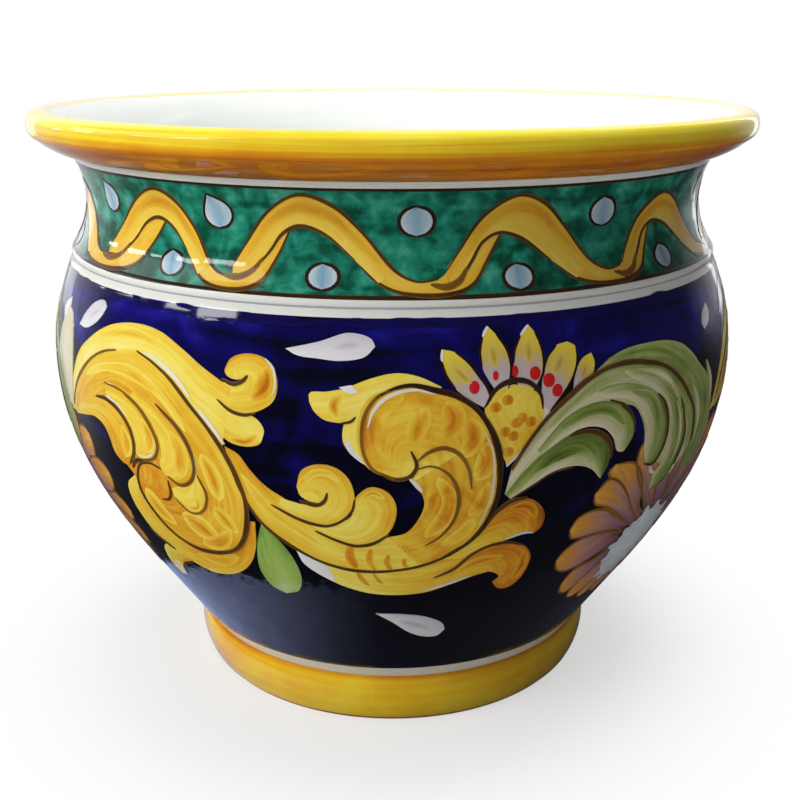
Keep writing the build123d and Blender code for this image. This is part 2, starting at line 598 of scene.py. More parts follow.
def curve_through(run: list[np.ndarray], fineness: int = 14) -> np.ndarray:
    """A centripetal curve through a run of points, with straight-on ends."""
    if len(run) == 2:
        return np.linspace(run[0], run[1], fineness)
    ends = [2 * run[0] - run[1], *run, 2 * run[-1] - run[-2]]
    out = []
    for p0, p1, p2, p3 in zip(ends, ends[1:], ends[2:], ends[3:]):
        steps = [math.sqrt(np.hypot(*(b - a))) for a, b in ((p0, p1), (p1, p2), (p2, p3))]
        k0, k1, k2, k3 = np.cumsum([0.0, *steps])
        t = np.linspace(k1, k2, fineness, endpoint=False)[:, None]
        first = between(p0, p1, k0, k1, t)
        middle = between(p1, p2, k1, k2, t)
        last = between(p2, p3, k2, k3, t)
        out.append(between(between(first, middle, k0, k2, t), between(middle, last, k1, k3, t), k1, k2, t))
    out.append(run[-1][None, :])
    return np.vstack(out)


def path_length(points: Path) -> float:
    """Length of a path's chords on the flat sheet, in millimetres."""
    flat = np.array(points, float) * (DEGREE_MM, 1.0)
    return float(np.hypot(*np.diff(flat, axis=0).T).sum())


def step_count(length: float, step: float, least: int, most: int) -> int:
    """How many points a length gets, at about this step."""
    return int(min(most, max(least, length / step)))


@dataclass(frozen=True)
class Limb:
    """A painted lobe, laid between two edges that run the same way."""

    edge_a: Path
    edge_b: Path
    order: int = 1
    tones: tuple[float, float, float] = (0.3, 0.4, 0.6)
    ends: tuple[float, float] = (0.0, 0.0)
    fades: bool = False
    closed: bool = False

    def edges(self) -> tuple[np.ndarray, np.ndarray]:
        """Both edges at the same number of steps on the flat sheet."""
        length = max(path_length(self.edge_a), path_length(self.edge_b))
        count = step_count(length, LIMB_STEP, *LIMB_COUNTS)
        return smooth_path(self.edge_a, count), smooth_path(self.edge_b, count)


@dataclass(frozen=True)
class Line:
    """A brushed line that swells in the middle."""

    path: Path
    width: float = 1.5
    order: int = 11
    tones: tuple[float, float, float] = (0.45, 0.7, 0.45)
    ends: tuple[float, float] = (-0.25, -0.25)
    blunt: float = 0.3
    fades: bool = False
    closed: bool = False

    def edges(self) -> tuple[np.ndarray, np.ndarray]:
        """The line's two sides on the flat sheet."""
        length = path_length(self.path)
        count = step_count(length, LINE_STEP, *LINE_COUNTS)
        middle = smooth_path(self.path, count)
        way = np.gradient(middle, axis=0)
        way /= np.hypot(*way.T)[:, None]
        share = np.linspace(0.0, 1.0, count)
        swell = self.blunt + (1 - self.blunt) * np.sin(math.pi * share) ** LINE_SWELL
        hand = 1 + LINE_SWAY * np.sin(share * length * LINE_PACE + self.path[0][1])
        side = np.column_stack((-way[:, 1], way[:, 0])) * (self.width / 2 * swell * hand)[:, None]
        return middle + side, middle - side


def wash(path: Path, width: float, order: int, base: float, peak: float) -> Line:
    """A soft stroke of shade, whose edges have the tone of what it lies on.

    Args:
        path: Its middle.
        width: Its greatest width in millimetres.
        order: Place in the order of painting.
        base: Tone at its edges.
        peak: Tone in its middle.

    Returns:
        The stroke.
    """
    return Line(path, width, order, (base, peak, base), (0.0, 0.0), 0.05, True)


def sliver(path: Path, width: float, tone: float = 0.1) -> Line:
    """A thin pale stroke of one tone."""
    return Line(path, width, 10, (tone, tone, tone), (0.0, 0.0))


@dataclass(frozen=True)
class Ring:
    """A line drawn right round the pot on the wheel."""

    level: float
    width: float = 1.2
    sway: float = 0.2
    seed: int = 1
    order: int = 1
    tones: tuple[float, float, float] = (0.5, 0.7, 0.5)
    ends: tuple[float, float] = (0.0, 0.0)
    fades: bool = False
    closed: bool = True
    rough: float = 0.0
    steps: int = 720

    def edges(self) -> tuple[np.ndarray, np.ndarray]:
        """The upper and lower edge, each with its own slow sway."""
        deg = np.linspace(-180.0, 180.0, self.steps + 1)
        sides = []
        for side, shift in ((1, 0.0), (-1, 1.7)):
            waves = sum(np.sin(np.radians(deg) * (k + self.seed) + k * k + shift) / k for k in SLOW_SWAY)
            dabs = sum(np.sin(np.radians(deg) * k + k * k * 0.7 + shift) for k in DABS)
            up = self.level + side * self.width / 2 + self.sway * 0.5 * waves + self.rough * 0.3 * dabs
            sides.append(np.column_stack((deg * DEGREE_MM, up)))
        return sides[0], sides[1]


Stroke = Limb | Line | Ring


def dot(
    deg: float, up: float, wide: float, tall: float, order: int, tones: tuple[float, float, float],
) -> Limb:
    """A dab of the brush, an oval with its middle at a point.

    Args:
        deg: Degrees round.
        up: Millimetres up.
        wide: Half width in degrees.
        tall: Half height in millimetres.
        order: Place in the order of painting.
        tones: Tones at the left, in the middle and at the right.

    Returns:
        The dab as a limb.
    """
    angles = [math.pi * step / 6 for step in range(7)]
    left = tuple((deg - wide * math.sin(a), up - tall * math.cos(a)) for a in angles)
    right = tuple((deg + wide * math.sin(a), up - tall * math.cos(a)) for a in angles)
    return Limb(left, right, order, tones)


class PotSurface:
    """The outside of the glazed pot below the rim: a radius and a slope for each level."""

    def __init__(self, levels: np.ndarray, radii: np.ndarray) -> None:
        """Takes levels and radii in metres, upwards."""
        self.levels = levels
        self.radii = radii
        self.slopes = np.gradient(radii, levels)

    def place(self, deg: np.ndarray, up: np.ndarray, lift: np.ndarray) -> tuple[np.ndarray, np.ndarray]:
        """Points over the pot's surface.

        Args:
            deg: Degrees round, rightwards from the front.
            up: Levels in metres.
            lift: Heights over the surface in metres.

        Returns:
            The points and the surface's outward directions there.
        """
        turn = np.radians(deg)
        slope = np.interp(up, self.levels, self.slopes)
        flat = 1 / np.hypot(1.0, slope)
        way = np.column_stack((np.sin(turn) * flat, -np.cos(turn) * flat, -slope * flat))
        radius = np.interp(up, self.levels, self.radii)
        base = np.column_stack((np.sin(turn) * radius, -np.cos(turn) * radius, up))
        return base + way * lift[:, None], way


class PaintLayer:
    """Strokes of one paint, gathered into one thin shell that lies on the pot."""

    KEYS = ("deg", "up", "lift", "along", "across", "tone")
    FIRST_LIFT = 0.08
    ORDER_LIFT = 0.03
    SUNK = 0.05
    COLUMN = 1.7
    MOST_COLUMNS = 20
    ALONG_SHIFT = 97.0
    ACROSS_SHIFT = 31.0
    FADE = 0.7
    SEAM = 1e-3
    WELD = 2e-6

    def __init__(self, name: str, pigment: Pigment, pot: PotSurface) -> None:
        """Takes the piece's name, its paint and the pot that it lies on."""
        self.name = name
        self.pigment = pigment
        self.pot = pot
        self.mesh = bmesh.new()
        self.keys = {key: self.mesh.verts.layers.float.new(key) for key in self.KEYS}
        self.strokes = 0

    def add(self, stroke: Stroke, turn: float) -> None:
        """Lays a stroke, turned round the pot by some degrees."""
        edge_a, edge_b = stroke.edges()
        gap = np.hypot(*(edge_b - edge_a).T)
        columns = step_count(gap.max(), self.COLUMN, 2, self.MOST_COLUMNS)
        lengthwise = len(edge_a) - 1
        grid = bmesh.ops.create_grid(self.mesh, x_segments=lengthwise, y_segments=columns, size=1.0)["verts"]
        spots = np.array([vert.co.xy for vert in grid])
        spots = (spots - spots.min(axis=0)) / np.ptp(spots, axis=0)
        row = np.rint(spots[:, 0] * lengthwise).astype(int)
        share = spots[:, 1]
        sheet = edge_a[row] + (edge_b - edge_a)[row] * share[:, None]
        travel = np.concatenate(([0.0], np.cumsum(np.hypot(*np.diff((edge_a + edge_b) / 2, axis=0).T))))
        plain = np.interp(share, (0.0, 1.0), (stroke.tones[0], stroke.tones[2]))
        rise = np.sin(math.pi * spots[:, 0]) ** self.FADE if stroke.fades else 1.0
        tone = plain + (np.interp(share, (0.0, 0.5, 1.0), stroke.tones) - plain) * rise
        tone += np.interp(spots[:, 0], (0.0, 1.0), stroke.ends)
        self.strokes += 1
        values = {
            "deg": sheet[:, 0] / DEGREE_MM + turn,
            "up": sheet[:, 1] * MM,
            "lift": np.full(len(grid), -self.SUNK * MM),
            "along": travel[row] + self.ALONG_SHIFT * self.strokes,
            "across": gap[row] * share + self.ACROSS_SHIFT * self.strokes,
            "tone": tone,
        }
        for key, column in values.items():
            layer = self.keys[key]
            for vert, value in zip(grid, column):
                vert[layer] = value
        self.thicken(grid, stroke)

    def thicken(self, grid: list[bmesh.types.BMVert], stroke: Stroke) -> None:
        """Raises a stroke's sheet into a shell, joins the ends of a ring, and lays it on the pot."""
        faces = list(dict.fromkeys(face for vert in grid for face in vert.link_faces))
        made = bmesh.ops.extrude_face_region(self.mesh, geom=faces, use_keep_orig=True)["geom"]
        top = [part for part in made if isinstance(part, bmesh.types.BMVert)]
        lift = (self.FIRST_LIFT + self.ORDER_LIFT * stroke.order) * MM
        for vert in top:
            vert[self.keys["lift"]] = lift
        whole = grid + top
        if stroke.closed:
            deg = self.keys["deg"]
            walls = dict.fromkeys(
                face
                for vert in whole
                for face in vert.link_faces
                if all(abs(abs(corner[deg]) - 180.0) < self.SEAM for corner in face.verts)
            )
            bmesh.ops.delete(self.mesh, geom=list(walls), context="FACES_ONLY")
        self.settle(whole)
        bmesh.ops.remove_doubles(self.mesh, verts=whole, dist=self.WELD)

    def settle(self, verts: list[bmesh.types.BMVert]) -> None:
        """Moves vertices to the places on the pot that their layers give."""
        read = {key: np.array([vert[self.keys[key]] for vert in verts]) for key in ("deg", "up", "lift")}
        points, _ = self.pot.place(read["deg"], read["up"], read["lift"])
        for vert, point in zip(verts, points):
            vert.co = point

    def finish(self) -> bpy.types.Object:
        """Makes the piece, riding on the pot."""
        bmesh.ops.recalc_face_normals(self.mesh, faces=self.mesh.faces)
        data = bpy.data.meshes.new(self.name)
        self.mesh.to_mesh(data)
        self.mesh.free()
        read = {}
        for key in ("deg", "up", "lift"):
            read[key] = np.zeros(len(data.vertices), np.float32)
            data.attributes[key].data.foreach_get("value", read[key])
        _, way = self.pot.place(read["deg"], read["up"], read["lift"])
        data.polygons.foreach_set("use_smooth", [True] * len(data.polygons))
        data.normals_split_custom_set_from_vertices(way.tolist())
        for key in ("deg", "up", "lift"):
            data.attributes.remove(data.attributes[key])
        paint = self.pigment.value
        return place_piece(self.name, data, paint.material())


def place_piece(name: str, data: bpy.types.Mesh, material: bpy.types.Material) -> bpy.types.Object:
    """Puts a finished mesh into the scene as a piece of the pot.

    Args:
        name: The piece's name.
        data: Its mesh, in place.
        material: Its finish.

    Returns:
        The piece.
    """
    data.materials.append(material)
    piece = bpy.data.objects.new(name, data)
    bpy.context.scene.collection.objects.link(piece)
    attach(piece, BODY)
    log.info("%s: %d faces", name, len(data.polygons))
    return piece


@dataclass
class GlazeCoat:
    """The turned zones of the glaze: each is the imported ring's own section, turned finely."""

    steps: int = 320
    flatness: float = math.radians(0.9)
    crease: float = math.radians(35)
    weld: float = 1e-6
    least_step: float = 1e-5
    outward: float = 0.1
    zones: tuple[tuple[str, Ground, str], ...] = (
        ("foot_glaze", Ground.FOOT, "yellow_glaze"),
        ("foot_line_glaze", Ground.WHITE, "white_glaze"),
        ("belly_glaze", Ground.COBALT, "cobalt_glaze"),
        ("bead_glaze", Ground.WHITE, "white_glaze"),
        ("neck_glaze", Ground.VIRIDIAN, "green_glaze"),
        ("collar_line_glaze", Ground.WHITE, "white_glaze"),
        ("rim_glaze", Ground.RIM, "yellow_glaze"),
        ("lining_glaze", Ground.LINING, "white_glaze"),
    )
    painted: tuple[str, ...] = ("foot_line_glaze", "belly_glaze", "bead_glaze", "neck_glaze")

    def build(self, nodes: dict[str, bpy.types.Object]) -> PotSurface:
        """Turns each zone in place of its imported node.

        Args:
            nodes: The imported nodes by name.

        Returns:
            The surface that the painting lies on.
        """
        rows: list[tuple[float, float]] = []
        for node, ground, slot in self.zones:
            data = self.turn(nodes[node], node.replace("_glaze", "_coat"))
            if node in self.painted:
                rows += self.outside(data)
            piece = place_piece(data.name, data, ground.value.material())
            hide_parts(node)
        rows = sorted(set(rows))
        following = rows[1:] + [(math.inf, 0.0)]
        keep = [row for row, above in zip(rows, following) if above[0] - row[0] > self.least_step]
        levels, radii = np.array(keep).T
        return PotSurface(levels, radii)

    def turn(self, node: bpy.types.Object, name: str) -> bpy.types.Mesh:
        """A zone's mesh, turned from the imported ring's section at its seam; a floor runs on to the axis."""
        ring = bmesh.new()
        ring.from_mesh(node.data)
        bmesh.ops.remove_doubles(ring, verts=ring.verts, dist=self.weld)
        away = [v for v in ring.verts if abs(v.co.y) > self.weld or v.co.x < -self.weld]
        bmesh.ops.delete(ring, geom=away, context="VERTS")
        bmesh.ops.dissolve_limit(ring, angle_limit=self.flatness, verts=ring.verts, edges=ring.edges)
        ends = [v for v in ring.verts if len(v.link_edges) == 1]
        for hub in bmesh.ops.extrude_vert_indiv(ring, verts=ends)["verts"]:
            hub.co = (0.0, 0.0, hub.co.z)
        section = ring.verts[:] + ring.edges[:]
        bmesh.ops.spin(
            ring,
            geom=section,
            cent=(0, 0, 0),
            axis=(0, 0, 1),
            dvec=(0, 0, 0),
            angle=math.tau,
            steps=self.steps,
            use_merge=True,
        )
        bmesh.ops.remove_doubles(ring, verts=ring.verts, dist=self.weld)
        bmesh.ops.recalc_face_normals(ring, faces=ring.faces)
        data = bpy.data.meshes.new(name)
        ring.to_mesh(data)
        ring.free()
        data.polygons.foreach_set("use_smooth", [True] * len(data.polygons))
        data.set_sharp_from_angle(angle=self.crease)
        return data

    def outside(self, data: bpy.types.Mesh) -> list[tuple[float, float]]:
        """Levels and radii of the outer face of a turned zone, rounded to a tenth of a micrometre."""
        seam = [v for v in data.vertices if abs(v.co.y) < self.weld and v.co.x > 0]
        return [(round(v.co.z, 7), round(v.co.x, 7)) for v in seam if v.normal.x > self.outward]


@dataclass
class ClayBody:
    """The clay under the glaze, which shows at the foot."""

    nodes: tuple[str, ...] = ("bowl", "foot_ring", "rim_collar")

    def dress(self, nodes: dict[str, bpy.types.Object]) -> None:
        """Gives the packed clay its finish."""
        for name in self.nodes:
            slots = nodes[name].data.materials
            slots.clear()
            slots.append(Ground.CLAY.value.material())
            log.info("%s: bare clay", name)


@dataclass(frozen=True)
class Lamp:
    """A soft box.

    Attributes:
        name: Its name.
        place: Where it stands, in metres.
        aim: The point that it faces.
        size: Its width and height.
        power: Its power in watts.
        mirrored: Whether the glaze mirrors it.
        roll: How far it is turned about the way that it faces, in degrees.
    """

    name: str
    place: Point
    aim: Point
    size: tuple[float, float]
    power: float
    mirrored: bool = False
    roll: float = 0.0

    def light(self) -> None:
        """Puts the lamp on the stage."""
        data = bpy.data.lights.new(self.name, "AREA")
        data.shape = "RECTANGLE"
        data.size, data.size_y = self.size
        data.energy = self.power
        lamp = bpy.data.objects.new(self.name, data)
        lamp.location = self.place
        lamp.visible_glossy = self.mirrored
        facing = (Vector(self.aim) - Vector(self.place)).to_track_quat("-Z", "Y")
        lamp.rotation_euler = (facing @ Quaternion((0, 0, 1), math.radians(self.roll))).to_euler()
        bpy.context.scene.collection.objects.link(lamp)


@dataclass
class Studio:
    """Camera, floor, lights and background.

    An edge, end or turn is a pair: where a share starts, and where it is full.
    """

    camera_distance: float = 0.4954
    camera_height: float = 0.2724
    camera_pitch: float = 0.3118
    focal_pixels: float = 1127.1
    frame_pixels: float = 800.0
    axis_column: float = 392.5
    sensor_width: float = 36.0
    near_clip: float = 0.01
    white: Rgba = (1.0, 1.0, 1.0, 1.0)
    floor_size: float = 3.0
    floor_light: Rgba = (0.6, 0.6, 0.6, 1.0)
    floor_seen: Rgba = (0.86, 0.86, 0.86, 1.0)
    shadow_edge: tuple[float, float] = (0.09, 0.2)
    shadow_veil: float = 0.6
    table_near: Rgba = (0.4, 0.47, 0.8, 1.0)
    table_far: Rgba = (0.035, 0.035, 0.045, 1.0)
    table_edge: tuple[float, float] = (0.155, 0.149)
    table_ragged: float = 0.034
    ragged_scale: float = 150.0
    mottle_scale: float = 90.0
    mottle: tuple[float, float] = (0.6, 0.7)
    table_left: tuple[float, float] = (0.0, -0.11)
    table_end: tuple[float, float] = (0.5, 2.4)
    table_left_end: tuple[float, float] = (-0.18, -0.55)
    table_left_glow: float = 0.7
    room_front: Rgba = (0.05, 0.05, 0.06, 1.0)
    room_back: Rgba = (0.88, 0.88, 0.92, 1.0)
    room_turn: tuple[float, float] = (0.15, 0.85)
    room_right: float = -0.25
    fill_left: Rgba = (0.36, 0.36, 0.37, 1.0)
    fill_right: Rgba = (0.03, 0.03, 0.03, 1.0)
    fill_turn: tuple[float, float] = (-0.7, 0.7)
    panes: tuple[tuple[float, float, float, float], ...] = (
        (-0.6, 0.68, 0.3, 0.08),
        (-0.3, 0.575, 0.18, 0.06),
        (-0.04, 0.49, 0.08, 0.03),
        (0.12, 0.44, 0.16, 0.05),
        (0.38, 0.355, 0.1, 0.03),
    )
    pane_side: float = -1.0
    pane_aim: Point = (-0.1, -0.1, 0.186)
    pane_glow: float = 28.0
    window_roll: float = 18.0

    def build(self) -> None:
        """Sets up the whole stage."""
        bpy.context.scene.view_settings.view_transform = "Standard"
        self.camera()
        self.floor()
        self.background()
        for lamp in self.lamps():
            lamp.light()

    def lamps(self) -> list[Lamp]:
        """Soft boxes, and the panes of a window that the glaze mirrors."""
        panes = []
        for number, (front, up, wide, tall) in enumerate(self.panes):
            place = (self.pane_side, front, up)
            power = self.pane_glow * wide * tall
            panes.append(
                Lamp(f"pane_{number}", place, self.pane_aim, (wide, tall), power, True, self.window_roll)
            )
        return [
            Lamp("key_light", (-1.1, -0.9, 1.0), (0.0, 0.0, 0.13), size=(0.9, 0.9), power=14.5),
            Lamp(
                "left_light", (-0.75, 0.85, 0.45), (0.0, 0.0, 0.14), size=(0.3, 0.9), power=0.55,
                mirrored=True,
            ),
            *panes,
            Lamp(
                "right_light", (0.72, 0.85, 0.55), (0.0, 0.0, 0.14), size=(0.14, 1.5), power=0.75,
                mirrored=True,
            ),
            Lamp("top_light", (0.2, 0.2, 1.4), (0.0, 0.0, 0.2), size=(1.0, 1.0), power=14.0),
            Lamp(
                "veil_light", (-1.0, -0.2, 0.77), (-0.1, -0.1, 0.2), (1.3, 0.3), 1.8, True,
                self.window_roll,
            ),
            Lamp("mouth_light", (0.0, 0.0, 0.62), (0.0, 0.0, 0.1), size=(0.2, 0.2), power=0.15),
        ]

    def camera(self) -> None:
        """The camera, at the photograph's height and angle."""
        data = bpy.data.cameras.new("camera")
        data.sensor_width = self.sensor_width
        data.lens = self.sensor_width * self.focal_pixels / self.frame_pixels
        data.shift_x = (self.frame_pixels / 2 - self.axis_column) / self.frame_pixels
        data.clip_start = self.near_clip
        camera = bpy.data.objects.new("camera", data)
        camera.location = (0.0, -self.camera_distance, self.camera_height)
        camera.rotation_euler = (math.pi / 2 - self.camera_pitch, 0.0, 0.0)
        bpy.context.scene.collection.objects.link(camera)
        bpy.context.scene.camera = camera

    def floor(self) -> None:
        """A plain pale floor."""
        shape = bmesh.new()
        bmesh.ops.create_grid(shape, x_segments=1, y_segments=1, size=self.floor_size)
        data = bpy.data.meshes.new("floor")
        shape.to_mesh(data)
        shape.free()
        data.materials.append(self.floor_material())
        floor = bpy.data.objects.new("floor", data)
        bpy.context.scene.collection.objects.link(floor)

    def floor_material(self) -> bpy.types.Material:
        """White to the eye away from the shadow, grey as a light, and a table where the glaze mirrors it."""
        material, graph = new_material("pale_floor")
        paths = graph.add("LightPath").outputs
        plain = graph.add(
            "BsdfDiffuse", Color=graph.mix(paths["Is Camera Ray"], self.floor_light, self.floor_seen),
        )
        away = self.fall(graph, *self.shadow_edge)
        veil = graph.math("MULTIPLY_ADD", away, 1.0 - self.shadow_veil, self.shadow_veil)
        glow = graph.add("Emission", Color=self.white, Strength=1.0)
        seen = graph.blend(graph.math("MULTIPLY", veil, paths["Is Camera Ray"]), plain, glow)
        tint = graph.mix(self.table_glow(graph), self.table_far, self.table_near)
        left = graph.ease(self.sideways(graph), *self.table_left_end, self.table_left_glow)
        beyond = graph.math("MAXIMUM", self.fall(graph, *self.table_end), left)
        top = graph.add("Emission", Color=tint, Strength=1.0)
        table = graph.blend(beyond, top, graph.add("BsdfTransparent"))
        floor = graph.blend(paths["Is Glossy Ray"], seen, table)
        graph.add("OutputMaterial", Surface=floor.outputs[0])
        return material

    def sideways(self, graph: Graph) -> bpy.types.NodeSocket:
        """How far to the right of the pot's axis a place on the floor is, in metres."""
        return graph.add("SeparateXYZ", Vector=graph.add("TexCoord").outputs["Object"]).outputs["X"]

    def table_glow(self, graph: Graph) -> bpy.types.NodeSocket:
        """Where the glaze mirrors a bright table: near the foot, on the left."""
        place = graph.add("TexCoord").outputs["Object"]
        mottled = graph.math("MULTIPLY_ADD", graph.noise(place, self.mottle_scale, 3.0), *self.mottle)
        left = graph.ease(self.sideways(graph), *self.table_left)
        near = graph.math("MULTIPLY", self.fall(graph, *self.table_edge, self.table_ragged), left)
        return graph.math("MULTIPLY", near, mottled)

    def fall(self, graph: Graph, none: float, full: float, uneven: float = 0.0) -> bpy.types.NodeSocket:
        """A share that goes from nothing to one between two distances from the pot's axis, in metres."""
        place = graph.add("TexCoord").outputs["Object"]
        away = graph.add("VectorMath", {"operation": "LENGTH"})
        graph.feed(away.inputs[0], place)
        ragged = graph.noise(place, self.ragged_scale, 4.0)
        hand = graph.math("MULTIPLY_ADD", ragged, uneven, away.outputs["Value"])
        return graph.ease(hand, none, full)

    def background(self) -> None:
        """White to the eye; a soft room with a darker front to everything else."""
        world = bpy.data.worlds.new("room")
        bpy.context.scene.world = world
        world.use_nodes = True
        world.node_tree.nodes.clear()
        graph = Graph(world.node_tree)
        paths = graph.add("LightPath").outputs
        way = graph.add("SeparateXYZ", Vector=graph.add("TexCoord").outputs["Generated"]).outputs
        right = graph.math("MAXIMUM", way["X"], 0.0)
        behind = graph.math("MULTIPLY_ADD", right, self.room_right, way["Y"])
        glow = graph.mix(graph.ease(behind, *self.room_turn), self.room_front, self.room_back)
        fill = graph.mix(graph.ease(way["X"], *self.fill_turn), self.fill_left, self.fill_right)
        soft = graph.mix(paths["Is Glossy Ray"], fill, glow)
        seen = graph.mix(paths["Is Camera Ray"], soft, self.white)
        shine = graph.add("Background", Color=seen, Strength=1.0)
        graph.add("OutputWorld", Surface=shine.outputs[0])


@dataclass
class Motif:
    """A painted motif: strokes by paint, repeated round the pot."""

    name: str
    repeats: tuple[float, ...] = REPEATS

    def strokes(self) -> dict[Pigment, list[Stroke]]:
        """The motif's strokes by paint, in the place nearest to the front."""
        raise NotImplementedError

    def build(self, pot: PotSurface) -> None:
        """Paints the motif on the pot, one piece for each paint."""
        for pigment, strokes in self.strokes().items():
            layer = PaintLayer(f"{self.name}_{pigment.name.lower()}", pigment, pot)
            for turn in self.repeats:
                for stroke in strokes:
                    layer.add(stroke, turn)
            layer.finish()


@dataclass
class RoundScroll(Motif):
    """The large round scroll: a band that curls off to the right and a coiled body with three lobes."""

    name: str = "round_scroll"
    band_outer: Path = (
        (-60.5, 132.5), (-58.6, 143.5), (-55.1, 159), (-52, 165.2), (-47.8, 171.3), (-43.7, 174.7),
        (-38.7, 176.1), (-34.5, 174.9), (-29.9, 170.2), (-27, 166.3), (-24.1, 162.7), (-22, 160),
    )
    band_inner: Path = (
        (-59.5, 133), (-57.4, 143.5), (-54.5, 151.3), (-50.3, 159.1), (-46.6, 163.5), (-43.7, 165.2),
        (-38.9, 166.9), (-35.3, 164.1), (-32, 159.7), (-28.7, 152.4), (-25.8, 145.2), (-23.6, 138.5),
    )
    coil: Path = (
        (-38.9, 166.9), (-35.3, 164.1), (-32, 159.7), (-28.7, 152.4), (-25.8, 145.2), (-23.5, 137.4),
        (-21.8, 128), (-21, 119.1), (-21.4, 110.2), (-22.8, 101.3), (-25.3, 94.7), (-28.7, 91.3),
        (-32.8, 90.2), (-36.2, 92.4), (-38.7, 96.9), (-40.5, 103.6), (-41.6, 110.2),
    )
    coil_end: Path = ((-41.4, 116.9), (-39.9, 123.6), (-37.4, 125.8), (-35.3, 124.7))
    body_inner: Path = (
        (-58, 132.4), (-53.7, 134.7), (-50.3, 136.3), (-47.8, 134.7), (-46.6, 130.2), (-45.5, 124),
        (-43.6, 121.3), (-42, 117), (-41.6, 110.2),
    )
    lobe_1_outer: Path = (
        (-54, 141), (-49.1, 145.2), (-46.2, 145.8), (-43.3, 143.6), (-41.2, 139.1), (-40.3, 133.6),
        (-40.8, 127.4), (-42.4, 122.4), (-43.6, 121.3),
    )
    lobe_1_inner: Path = (
        (-58, 132.4), (-53.7, 134.7), (-50.3, 136.3), (-47.8, 134.7), (-46.6, 130.2), (-46, 124.7),
        (-44.5, 121.9), (-43.6, 121.3),
    )
    lobe_2_right: Path = (
        (-46, 151.5), (-41.5, 150.5), (-38.3, 147), (-35.8, 139.6), (-35.1, 133.6), (-36.4, 128.2),
        (-38.7, 126.3),
    )
    lobe_2_left: Path = (
        (-46.3, 148), (-43, 145), (-40.6, 139.1), (-39.9, 132.4), (-40.2, 128), (-39.5, 126.6),
    )
    lobe_3_right: Path = (
        (-39, 153.5), (-34.8, 150), (-31, 143), (-29.1, 135.8), (-28.7, 128), (-29.9, 122.4), (-32, 120),
        (-34.1, 122.4),
    )
    lobe_3_left: Path = (
        (-40, 150.6), (-36.6, 144.6), (-34.8, 138), (-34.5, 131.3), (-35.3, 126.4), (-34.5, 122.4),
    )
    crescent_outer: Path = ((-28.4, 126), (-27.4, 118), (-29, 110.4), (-31.4, 108.6), (-33.8, 113.5))
    crescent_inner: Path = ((-28.7, 127), (-29.7, 122.4), (-32, 119.6), (-33.9, 117.5))
    under_outer: Path = (
        (-42, 118), (-45.3, 111.3), (-46, 102.4), (-45.3, 94.7), (-44.1, 89.1), (-40.3, 84.1), (-37, 80),
        (-32.8, 77.8), (-28.7, 79.7), (-25.3, 84.1), (-22.8, 90.2), (-21, 99), (-20.1, 110.2),
    )
    under_inner: Path = (
        (-41.5, 114), (-40, 103.6), (-38.2, 97.5), (-35.8, 93.4), (-32.8, 91.4), (-29, 92.4), (-25.8, 95.4),
        (-23.2, 101.5), (-21.4, 110.2),
    )
    leaf_outer: Path = ((-40.5, 86), (-43.3, 84.1), (-45.3, 79.1), (-46.6, 71.3), (-45.5, 66))
    leaf_inner: Path = ((-36.5, 81), (-39.5, 78), (-42, 72.4), (-43, 68), (-45.5, 66))
    top_curl_outer: Path = (
        (-24.6, 155.8), (-22, 152.4), (-19.9, 151.9), (-17.4, 154.1), (-15.8, 157.4), (-15.3, 163),
        (-16, 168.6), (-17.8, 171.6), (-20.3, 171.9), (-22.4, 169.7), (-23.1, 165.8),
    )
    top_curl_inner: Path = (
        (-27.5, 165), (-25, 162.6), (-22, 161.6), (-20.8, 162.4), (-19.9, 164), (-19.9, 165.5), (-20.6, 166),
        (-21.6, 165.4), (-22.3, 164.5), (-23.1, 165.8),
    )
    low_curl_upper: Path = (
        (-27.5, 161), (-22, 154), (-19.9, 152.4), (-18, 150.2), (-17.2, 146.9), (-17.6, 143),
    )
    low_curl_lower: Path = (
        (-26.5, 148), (-23.7, 143), (-22, 140.8), (-19.5, 140.4), (-17.9, 141.8), (-17.6, 143),
    )

